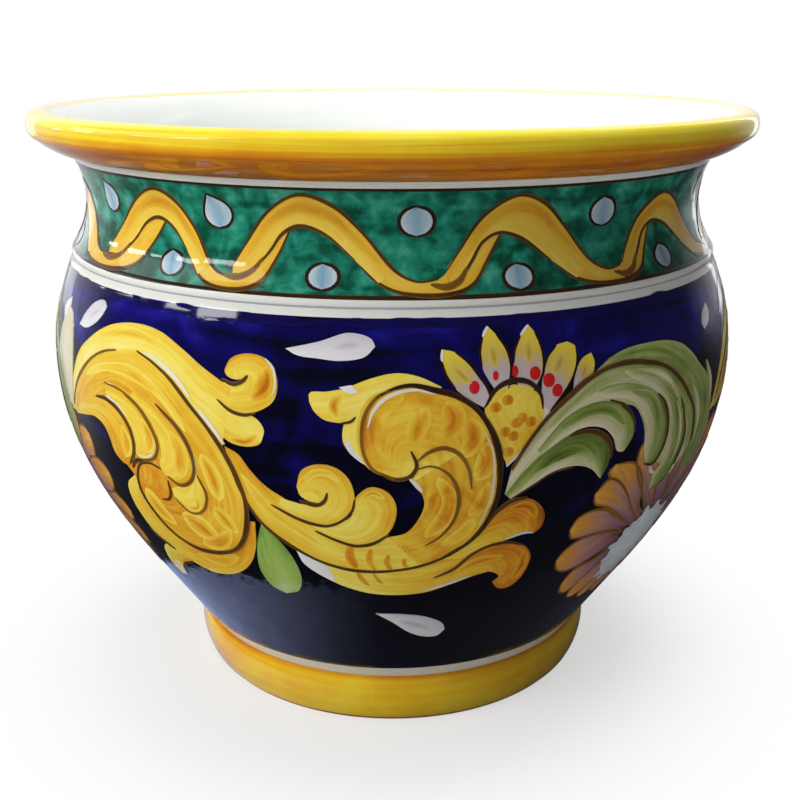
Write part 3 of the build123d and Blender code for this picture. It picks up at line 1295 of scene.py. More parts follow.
    def strokes(self) -> dict[Pigment, list[Stroke]]:
        """Lobes in yellow, their shading in orange, dark lines and pale slivers."""
        body_outer = self.band_inner[:6] + self.coil
        return {
            Pigment.YELLOW: [
                Limb(self.under_outer, self.under_inner, 0, (0.38, 0.5, 0.62), (0.0, 0.3)),
                Limb(self.leaf_outer, self.leaf_inner, 0, (0.3, 0.42, 0.6), (0.1, 0.0)),
                Limb(self.low_curl_upper, self.low_curl_lower, 1, (0.42, 0.34, 0.66)),
                Limb(self.top_curl_outer, self.top_curl_inner, 2, (0.62, 0.5, 0.36), (-0.1, 0.1)),
                Limb(self.band_outer, self.band_inner, 3, (0.52, 0.34, 0.26), (-0.12, 0.06)),
                Limb(body_outer, self.body_inner, 4, (0.56, 0.7, 0.7), (-0.08, 0.12)),
                Limb(self.lobe_3_right, self.lobe_3_left, 6, (0.7, 0.52, 0.46)),
                Limb(self.lobe_2_right, self.lobe_2_left, 7, (0.68, 0.5, 0.48)),
                Limb(self.lobe_1_outer, self.lobe_1_inner, 8, (0.68, 0.54, 0.56), (-0.06, 0.14)),
                Limb(self.crescent_outer, self.crescent_inner, 6, (0.58, 0.4, 0.46)),
                wash(((-52, 152), (-46, 158), (-39, 158.5), (-33, 152), (-29.5, 142)), 4.5, 5, 0.36, 0.7),
                wash(((-37.8, 143), (-36.6, 137), (-37.2, 130)), 5.4, 9, 0.4, 0.86),
                wash(((-32.4, 141), (-30.8, 133), (-31.6, 123)), 7.6, 9, 0.42, 0.9),
                wash(((-42.6, 138), (-42, 131), (-43, 124.6)), 5.0, 9, 0.38, 0.84),
                wash(((-29.4, 116.6), (-29.6, 112), (-31.6, 110.4)), 3.0, 7, 0.46, 0.8),
                wash(((-49, 168), (-43, 171.8), (-37.5, 172), (-32.6, 168.6)), 4.0, 4, 0.36, 0.62),
                wash(((-27.2, 135), (-25.8, 127), (-25.2, 117)), 8.0, 5, 0.4, 0.82),
                wash(((-26.4, 114), (-25, 108), (-23.6, 103.5)), 6.5, 5, 0.42, 0.84),
                wash(((-33.4, 107), (-30, 102), (-27.4, 97)), 10.0, 5, 0.42, 0.84),
                wash(((-24.8, 104), (-27.2, 97.5), (-31.4, 94)), 7.0, 6, 0.44, 0.92),
                wash(((-40, 114), (-38.8, 106), (-35.8, 100)), 8.0, 5, 0.42, 0.8),
                dot(-21.4, 165.8, 1.7, 2.6, 1, (0.5, 0.42, 0.5)),
                wash(((-34.4, 86.2), (-29, 87), (-25, 91.5)), 5.5, 1, 0.5, 0.84),
                wash(((-16.8, 169), (-16.9, 163), (-18.8, 156.6)), 7.0, 3, 0.5, 0.96),
                wash(((-22.5, 142.6), (-19.8, 142), (-18.2, 145)), 3.4, 2, 0.5, 0.84),
            ],
            Pigment.INK: [
                Line(
                    (
                        (-58.9, 135.8), (-57, 143.5), (-54.2, 151.3), (-50.3, 159.1), (-46.6, 163.5),
                        (-43.7, 165.2),
                    ),
                    1.2, 11, BROWN,
                ),
                Line(self.coil + self.coil_end, 1.8),
                Line(self.lobe_1_outer[1:8], 1.9),
                Line(self.lobe_2_right[1:], 1.6, 11, BROWN),
                Line(self.lobe_3_right[1:], 1.7, 11, (0.3, 0.5, 0.3)),
                Line(self.crescent_outer, 1.1, 11, BROWN),
                Line(((-38.7, 126.3), (-40.9, 124.2), (-41.9, 121)), 1.6),
                Line(((-34.3, 120.6), (-34.4, 115.2), (-35.3, 111.9), (-36.8, 111.1)), 1.2),
                Line(((-45.2, 91), (-43.6, 88), (-40.3, 84.1)), 1.3),
                Line(((-37.2, 79.6), (-39.8, 77.4), (-42, 72.6), (-42.8, 68.5)), 1.2),
                Line(((-23.5, 163), (-21.8, 161.6), (-20.3, 163), (-19.6, 165)), 1.4),
                Line(((-24.1, 155.8), (-22, 152.4), (-19.9, 151.6), (-18.3, 152.7)), 1.2),
                Line(((-46.5, 152), (-42.6, 151.4), (-39.6, 149.4)), 0.8, 11, BROWN),
            ],
            Pigment.CREAM: [
                sliver(((-37.4, 167), (-34.4, 165.2), (-31.2, 161), (-28.4, 155)), 1.4, 0.0),
                sliver(((-27.2, 151.4), (-25.2, 146.4), (-23.2, 140)), 1.3, 0.0),
                sliver(((-46.2, 147.2), (-43, 145.2), (-41.2, 142)), 1.0),
                sliver(((-39.8, 127.6), (-37.6, 128.2), (-36, 131)), 0.8),
                Line(((-29.2, 137), (-28.4, 131), (-28.8, 125)), 0.9, 10, (0.1, 0.2, 0.1), (0.0, 0.0)),
                sliver(((-17.2, 171), (-16, 168), (-15.6, 162.5), (-16, 159)), 0.8),
            ],
        }


@dataclass
class SScroll(Motif):
    """The scroll at the front: a bar with two small curls, which sweeps up into a mottled volute."""

    name: str = "s_scroll"
    bar_lower: Path = (
        (-22.6, 133), (-21.6, 124), (-19.5, 112.4), (-17.4, 106.3), (-14.5, 100.8), (-11.2, 95.8), (-7, 92.4),
        (-2.8, 91.6), (1.3, 92.7), (4.7, 94.7),
    )
    bar_upper: Path = (
        (-23.2, 139.3), (-21.2, 136.9), (-19.5, 131.3), (-17.4, 125.8), (-14.9, 121.9), (-12.4, 117),
        (-9, 109), (-5, 106), (-0.1, 108.2),
    )
    limb_outer: Path = (
        (4.2, 94.4), (8, 98.6), (10.9, 104.1), (13, 111.3), (14.3, 121.3), (14.5, 132.4), (14, 141.3),
        (12.8, 149.1),
    )
    limb_inner: Path = (
        (-0.6, 108), (1.8, 109.7), (3.4, 114.7), (4.3, 121.3), (3.9, 126), (3, 129), (2.4, 131.6),
    )
    volute_outer: Path = (
        (13, 147.6), (10.9, 155.8), (8.4, 160.2), (5.5, 162.4), (2.6, 164.1), (0.1, 163), (-2, 160.2),
        (-3.5, 154.7), (-4, 148), (-3.7, 140.2), (-2.4, 134.7), (-1.4, 133.6), (0.3, 131.6),
    )
    volute_inner: Path = ((2.6, 130.4), (2.8, 133), (2.2, 132.6), (1.2, 132), (0.3, 131.6))
    head_upper: Path = (
        (6.4, 163.4), (3.4, 166.9), (0.5, 168), (-2.8, 166.3), (-6.2, 163), (-8.7, 161.6), (-10.9, 161),
        (-10.9, 158),
    )
    head_lower: Path = (
        (6, 161), (2.6, 162.6), (0.1, 161), (-2, 157), (-3.4, 154), (-5, 152), (-7, 151.4), (-8.9, 152.2),
        (-10.3, 155), (-10.9, 158),
    )
    chin_outer: Path = ((-4.4, 156), (-6, 152.6), (-6.5, 148.6), (-6.4, 144.4), (-5.3, 140.2), (-3.1, 136))
    chin_inner: Path = ((-2.2, 157), (-3.2, 152), (-3.5, 146), (-3.2, 140), (-2.4, 135.6))
    curl_1_outer: Path = (
        (-13, 127.4), (-12.2, 133.6), (-9.9, 136.3), (-7.4, 135.2), (-5.8, 131.3), (-5.1, 124.7),
        (-5.5, 119.1), (-7, 114.7), (-9.1, 112.2), (-12, 113), (-16, 119),
    )
    curl_1_inner: Path = (
        (-13, 127.4), (-12.6, 124), (-11.4, 122), (-10.2, 121.4), (-10.6, 120.6), (-12.4, 120.4),
        (-15.4, 122),
    )
    curl_2_outer: Path = (
        (-5.6, 121), (-4.5, 125.8), (-2.8, 128.6), (-0.8, 126.9), (0.4, 122.4), (0.5, 116.9), (-0.5, 110.2),
        (-2.8, 105.2), (-5.3, 103.9), (-7.8, 105.8), (-11, 110.4),
    )
    curl_2_inner: Path = ((-5.6, 120), (-5.6, 117), (-7, 114), (-9.4, 111.8), (-11.5, 112.6))
    boat_outer: Path = (
        (-14.3, 99.1), (-13.7, 93.6), (-11.2, 88), (-7.8, 83), (-3.7, 79.7), (0.9, 78.9), (5.5, 80.2),
        (9.7, 84.1), (13, 87.4), (15.1, 88.6),
    )
    boat_inner: Path = (
        (-14.3, 100), (-11, 96.4), (-7, 93), (-2.8, 92.2), (1.3, 93.3), (4.7, 95.4), (8, 99), (11, 101),
        (14, 96), (15.1, 88.6),
    )
    upper_tail_top: Path = (
        (13, 112), (14.4, 116.9), (16.5, 120.2), (19, 120.8), (21.1, 117.4), (22.3, 112.4), (22.1, 106.9),
        (21.1, 104.9),
    )
    upper_tail_low: Path = ((7, 97), (11.5, 97.4), (14, 101.9), (16.9, 103.6), (19.4, 105.2), (21.1, 104.9))
    lower_tail_top: Path = (
        (6.5, 88), (9.4, 91.9), (11.9, 98.6), (14.4, 101.9), (17.3, 102.4), (19.8, 100.2), (21.7, 94.7),
        (22, 88), (21.3, 81.3), (19.6, 77.8), (17.8, 78.6), (16.5, 82.4),
    )
    lower_tail_low: Path = ((6.5, 86), (10.3, 86), (14, 88.9), (16.1, 88), (17.3, 85.2), (16.5, 82.4))
    spiral_1: Path = (
        (3.2, 135.2), (5.1, 136.3), (7.2, 133.6), (8.6, 128), (9, 121.3), (8.4, 114.1), (6.8, 108),
        (4.7, 104.1),
    )
    spiral_2: Path = ((3.2, 138), (4.7, 141.3), (6.8, 142.7), (8.8, 140.2), (10.1, 134.7), (10.7, 126.9))

    def strokes(self) -> dict[Pigment, list[Stroke]]:
        """Bar, limb, curls and tails in yellow and orange, with dark lines and pale slivers."""
        return {
            Pigment.YELLOW: [
                Limb(self.head_upper, self.head_lower, 1, (0.4, 0.26, 0.44), (0.0, 0.06)),
                Limb(self.chin_outer, self.chin_inner, 2, (0.42, 0.3, 0.36), (-0.02, 0.0)),
                Limb(self.boat_outer, self.boat_inner, 2, (0.4, 0.52, 0.46), (-0.3, 0.3)),
                Limb(self.upper_tail_top, self.upper_tail_low, 3, (0.94, 0.74, 0.52), (-0.1, 0.06)),
                Limb(self.lower_tail_top, self.lower_tail_low, 4, (0.92, 0.78, 0.68), (-0.16, 0.08)),
                Limb(self.bar_lower, self.bar_upper, 4, (0.56, 0.46, 0.6), (0.16, -0.1)),
                Limb(self.curl_2_outer, self.curl_2_inner, 6, (0.66, 0.4, 0.34), (0.08, -0.05)),
                Limb(self.curl_1_outer, self.curl_1_inner, 7, (0.62, 0.42, 0.36), (0.14, -0.06)),
                wash(((-21, 130), (-18.4, 120), (-14.5, 111), (-9.5, 102)), 4.5, 5, 0.42, 0.7),
                Line(((-5.9, 104.5), (-6.3, 99), (-5.5, 93.4)), 3.8, 6, (0.66, 0.84, 0.7), (0.0, 0.04)),
                Line(((-3.1, 102.5), (-3.4, 97), (-2.4, 91.2)), 2.6, 6, (0.64, 0.82, 0.68), (0.0, 0.04)),
                Line(((-0.6, 100), (-0.8, 96), (-0.1, 92.4)), 2.2, 6, (0.62, 0.8, 0.66), (0.0, 0.02)),
                Line(((1.7, 98), (1.8, 95.2), (2.5, 93)), 2.0, 6, (0.6, 0.78, 0.64), (0.0, 0.02)),
                Line(((-5.4, 91), (-4.8, 87.6), (-3.8, 84)), 2.2, 6, (0.66, 0.86, 0.7), (0.0, 0.0)),
                Line(((-3, 91), (-2.4, 88), (-1.6, 85.4)), 1.8, 6, (0.64, 0.84, 0.68), (0.0, 0.0)),
                wash(((-6.6, 161), (-7.6, 157.6), (-7.2, 152.8)), 4.6, 2, 0.36, 0.84),
                wash(((-11.8, 128), (-10.8, 132.6), (-8.6, 133.4), (-7, 130)), 3.0, 8, 0.4, 0.72),
                wash(((-4.2, 124), (-2.6, 126.4), (-1, 124)), 2.4, 8, 0.4, 0.76),
                wash(((20.4, 97.5), (20.8, 90), (20, 82)), 4.6, 5, 0.72, 0.98),
                wash(((16.4, 117.6), (19.2, 117.6), (21, 112)), 4.0, 5, 0.7, 0.96),
                wash(((9, 88.4), (13, 94.5), (17, 96)), 4.0, 5, 0.62, 0.86),
            ],
            Pigment.MOTTLED: [
                Limb(self.limb_outer, self.limb_inner, 4, (0.68, 0.7, 0.62), (-0.04, 0.06)),
                Limb(self.volute_outer, self.volute_inner, 5, (0.66, 0.52, 0.42), (0.0, 0.12)),
                wash(((4.6, 108), (7, 115), (7.8, 123), (6, 132)), 6.5, 6, 0.48, 0.94),
                wash(((0.6, 133.4), (-2.4, 139), (-3, 148), (-1.8, 157), (1.6, 161.6)), 9.0, 6, 0.56, 0.84),
                wash(((4.6, 157), (3.4, 150.5), (2.8, 144)), 6.5, 7, 0.5, 0.78),
                wash(((7.2, 159), (8, 152), (6.8, 145.4)), 8.0, 8, 0.52, 0.8),
                wash(((10.2, 152.6), (10.6, 145), (9.4, 138.6)), 7.5, 7, 0.52, 0.82),
                wash(((12.4, 144), (12.6, 136.6), (11.2, 130)), 7.0, 8, 0.52, 0.84),
                wash(((13, 129), (12.6, 122), (10.6, 115.6)), 7.0, 7, 0.52, 0.82),
                wash(((11.6, 115), (9.8, 108.6), (7, 103.6)), 5.5, 8, 0.5, 0.76),
            ],
            Pigment.INK: [
                Line(self.bar_lower[:-1] + self.limb_outer[:4], 1.3),
                Line(self.limb_outer[1:] + self.volute_outer[1:7], 2.1, 11, DARK),
                Line(self.volute_outer[5:], 1.3, 11, BROWN),
                Line(
                    (
                        (-17, 119), (-13.6, 114.6), (-11.2, 112.6), (-9.1, 112.2), (-7, 114.7),
                        (-5.5, 119.1), (-5.1, 123.7),
                    ),
                    1.3,
                ),
                Line(((-11, 109.6), (-7.8, 105.8), (-5.3, 103.9), (-2.8, 105.2), (-0.5, 109.2)), 1.4),
                Line(((-12.8, 121.8), (-10.3, 120.6), (-9.2, 122.6), (-8.8, 125.8)), 1.7),
                Line(self.spiral_1, 1.2, 11, BROWN),
                Line(self.spiral_2, 1.4, 11, BROWN),
                Line(((-1.4, 133.6), (0.3, 131.6), (2.2, 132.4), (3.2, 136.4), (2.4, 141.9)), 1.6),
                Line(((-6.8, 151.2), (-5.4, 152), (-4.8, 153.6)), 0.8),
                Line(self.lower_tail_top[:6], 1.3),
                Line(((13.2, 111), (14.6, 116.8), (16.6, 120.6), (19, 121.2)), 1.6),
                Line(((7, 97.4), (10, 103)), 0.8),
            ],
            Pigment.CREAM: [
                Line(
                    ((-3.2, 150), (-2.6, 155), (-1.2, 159.4), (0.8, 161.8), (3, 162.6), (5.6, 161)), 1.2,
                    10, (0.1, 0.0, 0.1), (0.0, 0.1),
                ),
                Line(
                    ((12.2, 112), (13.4, 121.3), (13.7, 132), (13.2, 141.4), (12.2, 147)), 0.8, 10,
                    (0.2, 0.2, 0.2), (0.2, 0.0),
                ),
                Line(((2.2, 132), (3, 130), (4, 126.6)), 1.4, 10, (0.1, 0.1, 0.1), (0.0, 0.1)),
            ],
            Pigment.PALE: [
                Limb(
                    ((-14.4, 99.6), (-13.6, 93.4), (-11.2, 88), (-9, 85)),
                    ((-14.2, 100), (-12, 97), (-10, 92.5), (-9, 85)), 4, (0.1, 0.1, 0.3),
                ),
                Line(((-6, 146), (-5.6, 142.4), (-4.2, 138.6), (-3.2, 136.6)), 1.5, 3),
                Limb(((-7, 163.2), (-5.4, 164)), ((-5.6, 161), (-4.4, 161.6)), 3, (0.1, 0.1, 0.2)),
                Line(((5, 80.8), (9, 84.4), (12.4, 87.6)), 0.9, 8),
                Line(((16.6, 104.4), (19.4, 105.8), (21, 105.4)), 1.0, 8),
            ],
        }


@dataclass
class SunFlower(Motif):
    """The half flower behind the volute: lilac petals with yellow tips round a yellow heart."""

    name: str = "sun_flower"
    petals: tuple[tuple[Path, Path], ...] = (
        (
            ((6.6, 175.2), (6.5, 171.5), (7, 167), (8.3, 162.4), (10.2, 158.6), (11.9, 156)),
            ((6.6, 175.2), (8.3, 174.2), (10, 171), (11.4, 166.6), (12.6, 162), (13, 158)),
        ),
        (
            ((13, 181.8), (12.2, 178.6), (11.7, 174), (11.9, 169), (12.8, 164.5), (14, 160)),
            ((13, 181.8), (14.1, 179), (15.3, 175), (15.9, 170), (15.8, 166), (15.4, 161.5)),
        ),
        (
            ((18.9, 181.4), (17.6, 178.2), (16.6, 174), (16.3, 169.5), (16.6, 165), (16.8, 161)),
            ((18.9, 181.4), (19.7, 179), (20.4, 175), (20.7, 170), (20.4, 165), (19, 160)),
        ),
        (
            ((24.6, 174.8), (22.8, 174), (21.3, 170.6), (20.5, 166), (20.2, 160.5), (20.2, 154.7)),
            ((24.6, 174.8), (25.8, 173), (25.9, 169.6), (25.4, 164.8), (24, 159.4), (21.4, 152.6)),
        ),
        (
            ((28.3, 170.2), (26.8, 168.8), (25.7, 165.6), (25.2, 162), (25, 159.2)),
            ((28.3, 170.2), (28.7, 166.8), (28.2, 163), (27, 160.6), (25.4, 158.8)),
        ),
    )
    heart_left: Path = ((15.4, 135), (14.4, 140.2), (13.4, 148), (12.1, 155.4), (13.6, 160.8), (16.1, 162.8))
    heart_right: Path = (
        (15.4, 135), (17, 139.1), (19, 145.6), (20.5, 151.6), (20, 157.4), (18.4, 161.6), (16.1, 162.8),
    )
    red_dots: tuple[tuple[float, float, float, float], ...] = (
        (10.75, 162.7, 0.7, 2.2), (13.7, 166.1, 0.4, 1.6), (16.4, 167.1, 0.5, 1.9), (19.3, 165.8, 0.8, 2.3),
        (21.3, 163, 0.9, 2.4), (22.5, 159.3, 0.8, 2.2),
    )
    heart_spots: Path = (
        (13.6, 155.6), (15.25, 157.8), (17.3, 151.3), (18.6, 149.7), (16.5, 149.7), (16.1, 145.2),
        (14.9, 146.9), (15.5, 139.7),
    )

    def strokes(self) -> dict[Pigment, list[Stroke]]:
        """Petals, heart, dots and outlines."""
        return {
            Pigment.SUN_PETAL: [
                Limb(left, right, 1 + number % 2, (0.1, 0.02, 0.14), (1.1, -0.1))
                for number, (left, right) in enumerate(self.petals)
            ],
            Pigment.OLIVE: [
                wash(((8, 170), (9.2, 166.6), (10.4, 164)), 2.4, 3, 0.1, 0.8),
                wash(((13.4, 176), (13.6, 171.6), (13.8, 168.6)), 3.0, 3, 0.1, 0.8),
                wash(((18.6, 176), (18.6, 171.8), (18.6, 169)), 3.0, 3, 0.1, 0.8),
                wash(((23.6, 171), (22.9, 167.6), (22.2, 164.6)), 3.4, 3, 0.1, 0.9),
                wash(((27.2, 167), (26.8, 164), (26.4, 161.6)), 2.0, 3, 0.1, 0.9),
            ],
            Pigment.YELLOW: [
                Limb(self.heart_left, self.heart_right, 3, (0.5, 0.44, 0.54), (0.1, -0.04)),
                *[dot(deg, up, 0.8, 1.8, 4, (0.7, 0.84, 0.76)) for deg, up in self.heart_spots],
            ],
            Pigment.RED: [
                dot(deg, up, wide, tall, 3, (0.4, 0.5, 0.6))
                for deg, up, wide, tall in self.red_dots
            ],
            Pigment.INK: [
                Line(
                    ((12.1, 155.8), (13.8, 161.9), (16.1, 164.1), (18.4, 163), (20, 158.6), (20.3, 153.6)),
                    1.7, 5, DARK,
                ),
                *[Line(right[1:], 1.0, 4, DARK, (0.0, 0.0)) for _, right in self.petals[:4]],
                *[Line(left[1:4], 0.8, 4, DARK, (0.0, 0.0)) for left, _ in self.petals[:4]],
            ],
            Pigment.PALE: [
                Limb(
                    ((15.2, 136), (15, 140), (15.4, 143)), ((15.4, 134), (17.4, 139), (18, 143)), 2,
                    (0.1, 0.2, 0.3),
                ),
                Limb(
                    ((20.1, 155.4), (20.4, 151.6), (19.8, 148)), ((21.4, 154), (21.2, 151), (19.8, 148)),
                    2, (0.3, 0.2, 0.3),
                ),
                *[Line((left[0], left[1]), 1.0, 4, (0.1, 0.2, 0.1)) for left, _ in self.petals[:3]],
            ],
        }


@dataclass
class Acanthus(Motif):
    """The green leaf that arches from the volute to the right, with four curled lobes under its spine."""

    name: str = "acanthus"
    spine: Path = (
        (16.1, 133), (18, 141.3), (20.7, 149.7), (24, 156.3), (27.3, 161.3), (30.7, 164.1), (34.4, 164.7),
        (38.2, 163.3), (42.3, 160.2), (46.1, 153.6), (49, 145.8), (51.5, 137), (52.5, 125),
    )
    base: Path = (
        (15.5, 123.6), (17.75, 131.3), (20.7, 138), (24, 142.4), (28, 147), (32, 150), (35.5, 149),
        (37.6, 143), (39, 134), (41.5, 126), (45, 119), (48, 114),
    )
    crest_outer: Path = (
        (28.4, 163), (31.5, 167.4), (34.8, 169.4), (39, 169.7), (43.2, 168.9), (47.3, 165.8), (50.25, 160.8),
        (52.4, 155.8), (55.4, 150), (57.8, 142), (59, 132), (58, 122), (56, 112),
    )
    crest_inner: Path = (
        (28.4, 162), (30.7, 164.1), (34.4, 164.7), (38.2, 163.3), (42.3, 160.2), (46.1, 153.6), (49, 145.8),
        (51.5, 137), (52.5, 125), (51.5, 114),
    )
    lobe_1: tuple[Path, Path] = (
        (
            (15.5, 123.6), (17.75, 131.3), (20.7, 138), (24, 142.4), (27.3, 143), (29.8, 140.8),
            (31.5, 135.8), (31.7, 129.1), (30.7, 123.6),
        ),
        ((16.5, 121.3), (19.4, 126.3), (22.3, 130.2), (25.7, 131.1), (28.6, 128.6), (30.7, 123.6)),
    )
    lobe_2: tuple[Path, Path] = (
        (
            (19.7, 139), (23.6, 149.1), (27.3, 152.7), (30.7, 152.7), (33.6, 149.1), (35.5, 143.6),
            (35.9, 138), (34.4, 132.4),
        ),
        ((20.5, 137), (24, 143), (27.3, 144.9), (30.25, 143), (32.1, 138.6), (33.2, 133), (34.4, 132.4)),
    )
    lobe_3: tuple[Path, Path] = (
        (
            (29, 157), (30.7, 158), (34.8, 157.4), (39, 153.6), (41.9, 146.9), (43.4, 138), (43.2, 129.1),
            (41.5, 123), (39.8, 124.1),
        ),
        ((29, 156), (30.8, 153.6), (34, 152.4), (36.9, 146.9), (38.4, 139.1), (38.8, 130.2), (39.8, 124.1)),
    )
    lobe_4: tuple[Path, Path] = (
        (
            (34, 163), (36.5, 162.2), (40.7, 158.9), (44.8, 150.2), (47.75, 139.1), (49.2, 128),
            (48.2, 118), (45.7, 111.3), (43.2, 110.2),
        ),
        (
            (34, 161), (36, 158), (39.4, 154), (42.4, 146.9), (44, 138), (44.4, 129), (44, 121.3),
            (42.75, 118), (43.2, 110.2),
        ),
    )

    def strokes(self) -> dict[Pigment, list[Stroke]]:
        """Pale ground, lobes that are dark along the middle, a green crest and dark lines."""
        return {
            Pigment.LEAF: [
                Limb(self.crest_outer, self.crest_inner, 10, (0.5, 0.62, 0.66), (-0.04, 0.1)),
                Limb(self.spine, self.base, 10, (0.6, 0.16, 0.3), (-0.06, 0.1)),
                Limb(*self.lobe_4, 12, (0.74, 0.5, 0.12), (-0.12, 0.22)),
                Limb(*self.lobe_3, 13, (0.76, 0.48, 0.08), (-0.12, 0.1)),
                Limb(*self.lobe_2, 14, (0.8, 0.52, 0.0), (-0.12, -0.02)),
                Limb(*self.lobe_1, 15, (0.9, 0.64, 0.02), (-0.14, 0.14)),
                wash(((20.6, 146), (24, 153), (28.4, 159), (34, 160.8), (39, 157.4)), 5.0, 11, 0.3, 0.66),
                wash(((31, 167), (37, 167.6), (43.6, 164.4), (48.6, 156), (52.4, 146)), 4.0, 11, 0.56, 0.78),
                wash(((19, 131), (22.4, 136.4), (26.2, 138), (29.2, 134.6)), 5.0, 16, 0.7, 0.96),
                wash(((23, 146), (27, 150), (31, 149.2), (33.8, 143)), 3.6, 16, 0.6, 0.9),
                wash(((35, 154.6), (38.8, 150.8), (40.8, 143), (41.4, 134)), 4.4, 16, 0.56, 0.88),
                wash(((42, 155), (45, 147), (46.6, 137), (46.6, 125)), 5.0, 16, 0.56, 0.92),
                wash(((51.6, 154), (54.4, 146), (56, 136), (55.4, 124)), 6.0, 11, 0.56, 0.9),
                wash(((50, 150), (52, 142), (53.6, 132), (53.4, 122)), 3.4, 11, 0.56, 0.12),
                wash(((55, 156), (57, 147), (58, 136)), 2.6, 11, 0.5, 0.1),
                wash(((36, 161.8), (41, 158), (44.6, 150.6), (47, 142)), 3.0, 16, 0.5, 0.1),
                wash(((45.4, 147), (47, 138), (47.8, 128), (46.6, 118)), 2.6, 17, 0.6, 0.16),
            ],
            Pigment.CREAM: [
                Line(((41.2, 122.4), (41.6, 120), (42.8, 118.4)), 1.6, 18, (0.2, 0.2, 0.4)),
            ],
            Pigment.INK: [
                Line(self.spine, 1.8, 18),
                Line(((24.4, 142.8), (27.3, 143.4), (29.8, 141.2), (31.6, 136.4), (32, 131)), 2.0, 18),
                Line(((31, 153), (34, 149.6), (35.7, 144), (36.1, 139)), 1.2, 18),
                Line(
                    ((40.6, 151), (42.3, 146.9), (43.7, 138), (43.5, 129.1), (41.7, 123), (39.7, 124)),
                    1.5, 18,
                ),
                Line(((46.6, 146), (48, 139.1), (49.4, 128), (48.4, 118)), 1.3, 18),
                Line(((16.2, 121.4), (19.4, 125.9), (22.3, 129.8), (25.7, 130.7)), 0.8, 18),
            ],
        }


@dataclass
class RoundFlower(Motif):
    """The daisy under the leaf: mauve petals with golden tips round a pale heart."""

    name: str = "round_flower"
    middle: tuple[float, float] = (48.5, 92.0)
    heart_middle: tuple[float, float] = (48.2, 81.5)
    heart: float = 17.0
    near_petals: tuple[tuple[Path, Path], ...] = (
        (
            ((45, 93), (40.2, 101.4), (37, 111.3), (34.4, 119.1), (32.3, 124.7), (33.4, 127.6)),
            ((47, 95), (42.2, 104), (41.3, 111.3), (39.8, 119.1), (37.3, 125.8), (33.4, 127.6)),
        ),
        (
            ((44, 92), (39.2, 99.8), (36.1, 105.8), (33.6, 109.7), (31.1, 112.4), (30.5, 116.9)),
            ((45, 94), (40.6, 103.4), (37.3, 113.6), (34.8, 119.7), (32.75, 121.9), (30.5, 116.9)),
        ),
        (
            ((41, 93), (38.2, 95.8), (34.4, 97.2), (31.1, 97.4), (28.6, 98.2), (27.75, 102.4)),
            ((42, 98), (37.3, 102.4), (34, 108), (31.1, 109.3), (28.6, 107.4), (27.75, 102.4)),
        ),
        (
            ((41, 87), (39.4, 86.4), (36.5, 84), (33.2, 80.8), (30.7, 80), (28.6, 82.4), (27.5, 87.4)),
            ((41, 93), (39.4, 93.4), (36.5, 95.8), (33.2, 96.9), (30.25, 95.8), (28.2, 91.8), (27.5, 87.4)),
        ),
        (
            ((42, 82), (39.6, 76), (37.6, 69), (35.25, 64.1), (33.2, 66.3), (32.3, 71.3)),
            ((41, 87), (39, 84), (36.9, 81), (34, 79.7), (32.75, 76.9), (32.3, 71.3)),
        ),
    )
    petals: tuple[tuple[float, float, float], ...] = (
        (231, 42, 7.0), (251, 40, 7.0), (271, 39, 7.0), (292, 40, 7.0), (312, 43, 7.2), (331, 47, 7.4),
        (347, 51, 7.4), (3, 52, 7.4), (22, 53, 7.6), (40, 53, 7.6), (58, 48, 7.4), (78, 46, 7.4),
        (98, 46, 7.4), (118, 48, 7.4),
    )
    petal_shares: Path = ((0.12, 0.4), (0.5, 0.82), (0.72, 1.0), (0.88, 0.86), (0.97, 0.45), (1.0, 0.0))
    ray_count: int = 30
    ray_width: float = 4.4
    ray_ends: tuple[Point, Point] = ((0.35, 0.2, 2.3), (1.05, 0.16, 3.7))

    def petal(self, angle: float, length: float, half: float) -> tuple[Path, Path]:
        """Both edges of a petal from its base to its tip.

        Args:
            angle: Its direction in degrees, anticlockwise from the right.
            length: From the flower's middle to the tip, in millimetres.
            half: Half of its greatest width.

        Returns:
            The left edge and the right edge.
        """
        run, rise = math.cos(math.radians(angle)), math.sin(math.radians(angle))
        sides = []
        for side in (half, -half):
            edge = []
            for out, wide in self.petal_shares:
                right = length * out * run - side * wide * rise
                up = self.middle[1] + length * out * rise + side * wide * run
                edge.append((self.middle[0] + right / DEGREE_MM, up))
            sides.append(tuple(edge))
        return sides[0], sides[1]

    def ray(self, number: int) -> Line:
        """One of the strokes that run out over the heart, each with its own length and tone."""
        way = math.tau * number / self.ray_count
        ends = []
        for reach, sway, pace in self.ray_ends:
            out = self.heart * (reach + sway * math.sin(number * pace))
            deg = self.heart_middle[0] + out * math.cos(way) / DEGREE_MM
            ends.append((deg, self.heart_middle[1] + out * math.sin(way)))
        tones = (0.16, 0.14 * (number % 3), 0.16)
        return Line(tuple(ends), self.ray_width, 6 + number % 2, tones, (0.0, 0.24))

    def strokes(self) -> dict[Pigment, list[Stroke]]:
        """Petals with dark outlines, and the heart."""
        edges = list(self.near_petals) + [self.petal(*row) for row in self.petals]
        heart = dot(*self.heart_middle, self.heart / DEGREE_MM, self.heart, 5, (0.2, 0.1, 0.4))
        return {
            Pigment.ROUND_PETAL: [
                Limb(left, right, 1 + 2 * (number % 2), (0.24, 0.34, 0.2), (-0.24, 0.66))
                for number, (left, right) in enumerate(edges)
            ],
            Pigment.INK: [
                Line(side, 1.2, 2 + 2 * (number % 2), (0.2, 0.4, 0.2))
                for number, pair in enumerate(edges)
                for side in pair
            ],
            Pigment.SKY: [heart, *[self.ray(number) for number in range(self.ray_count)]],
        }


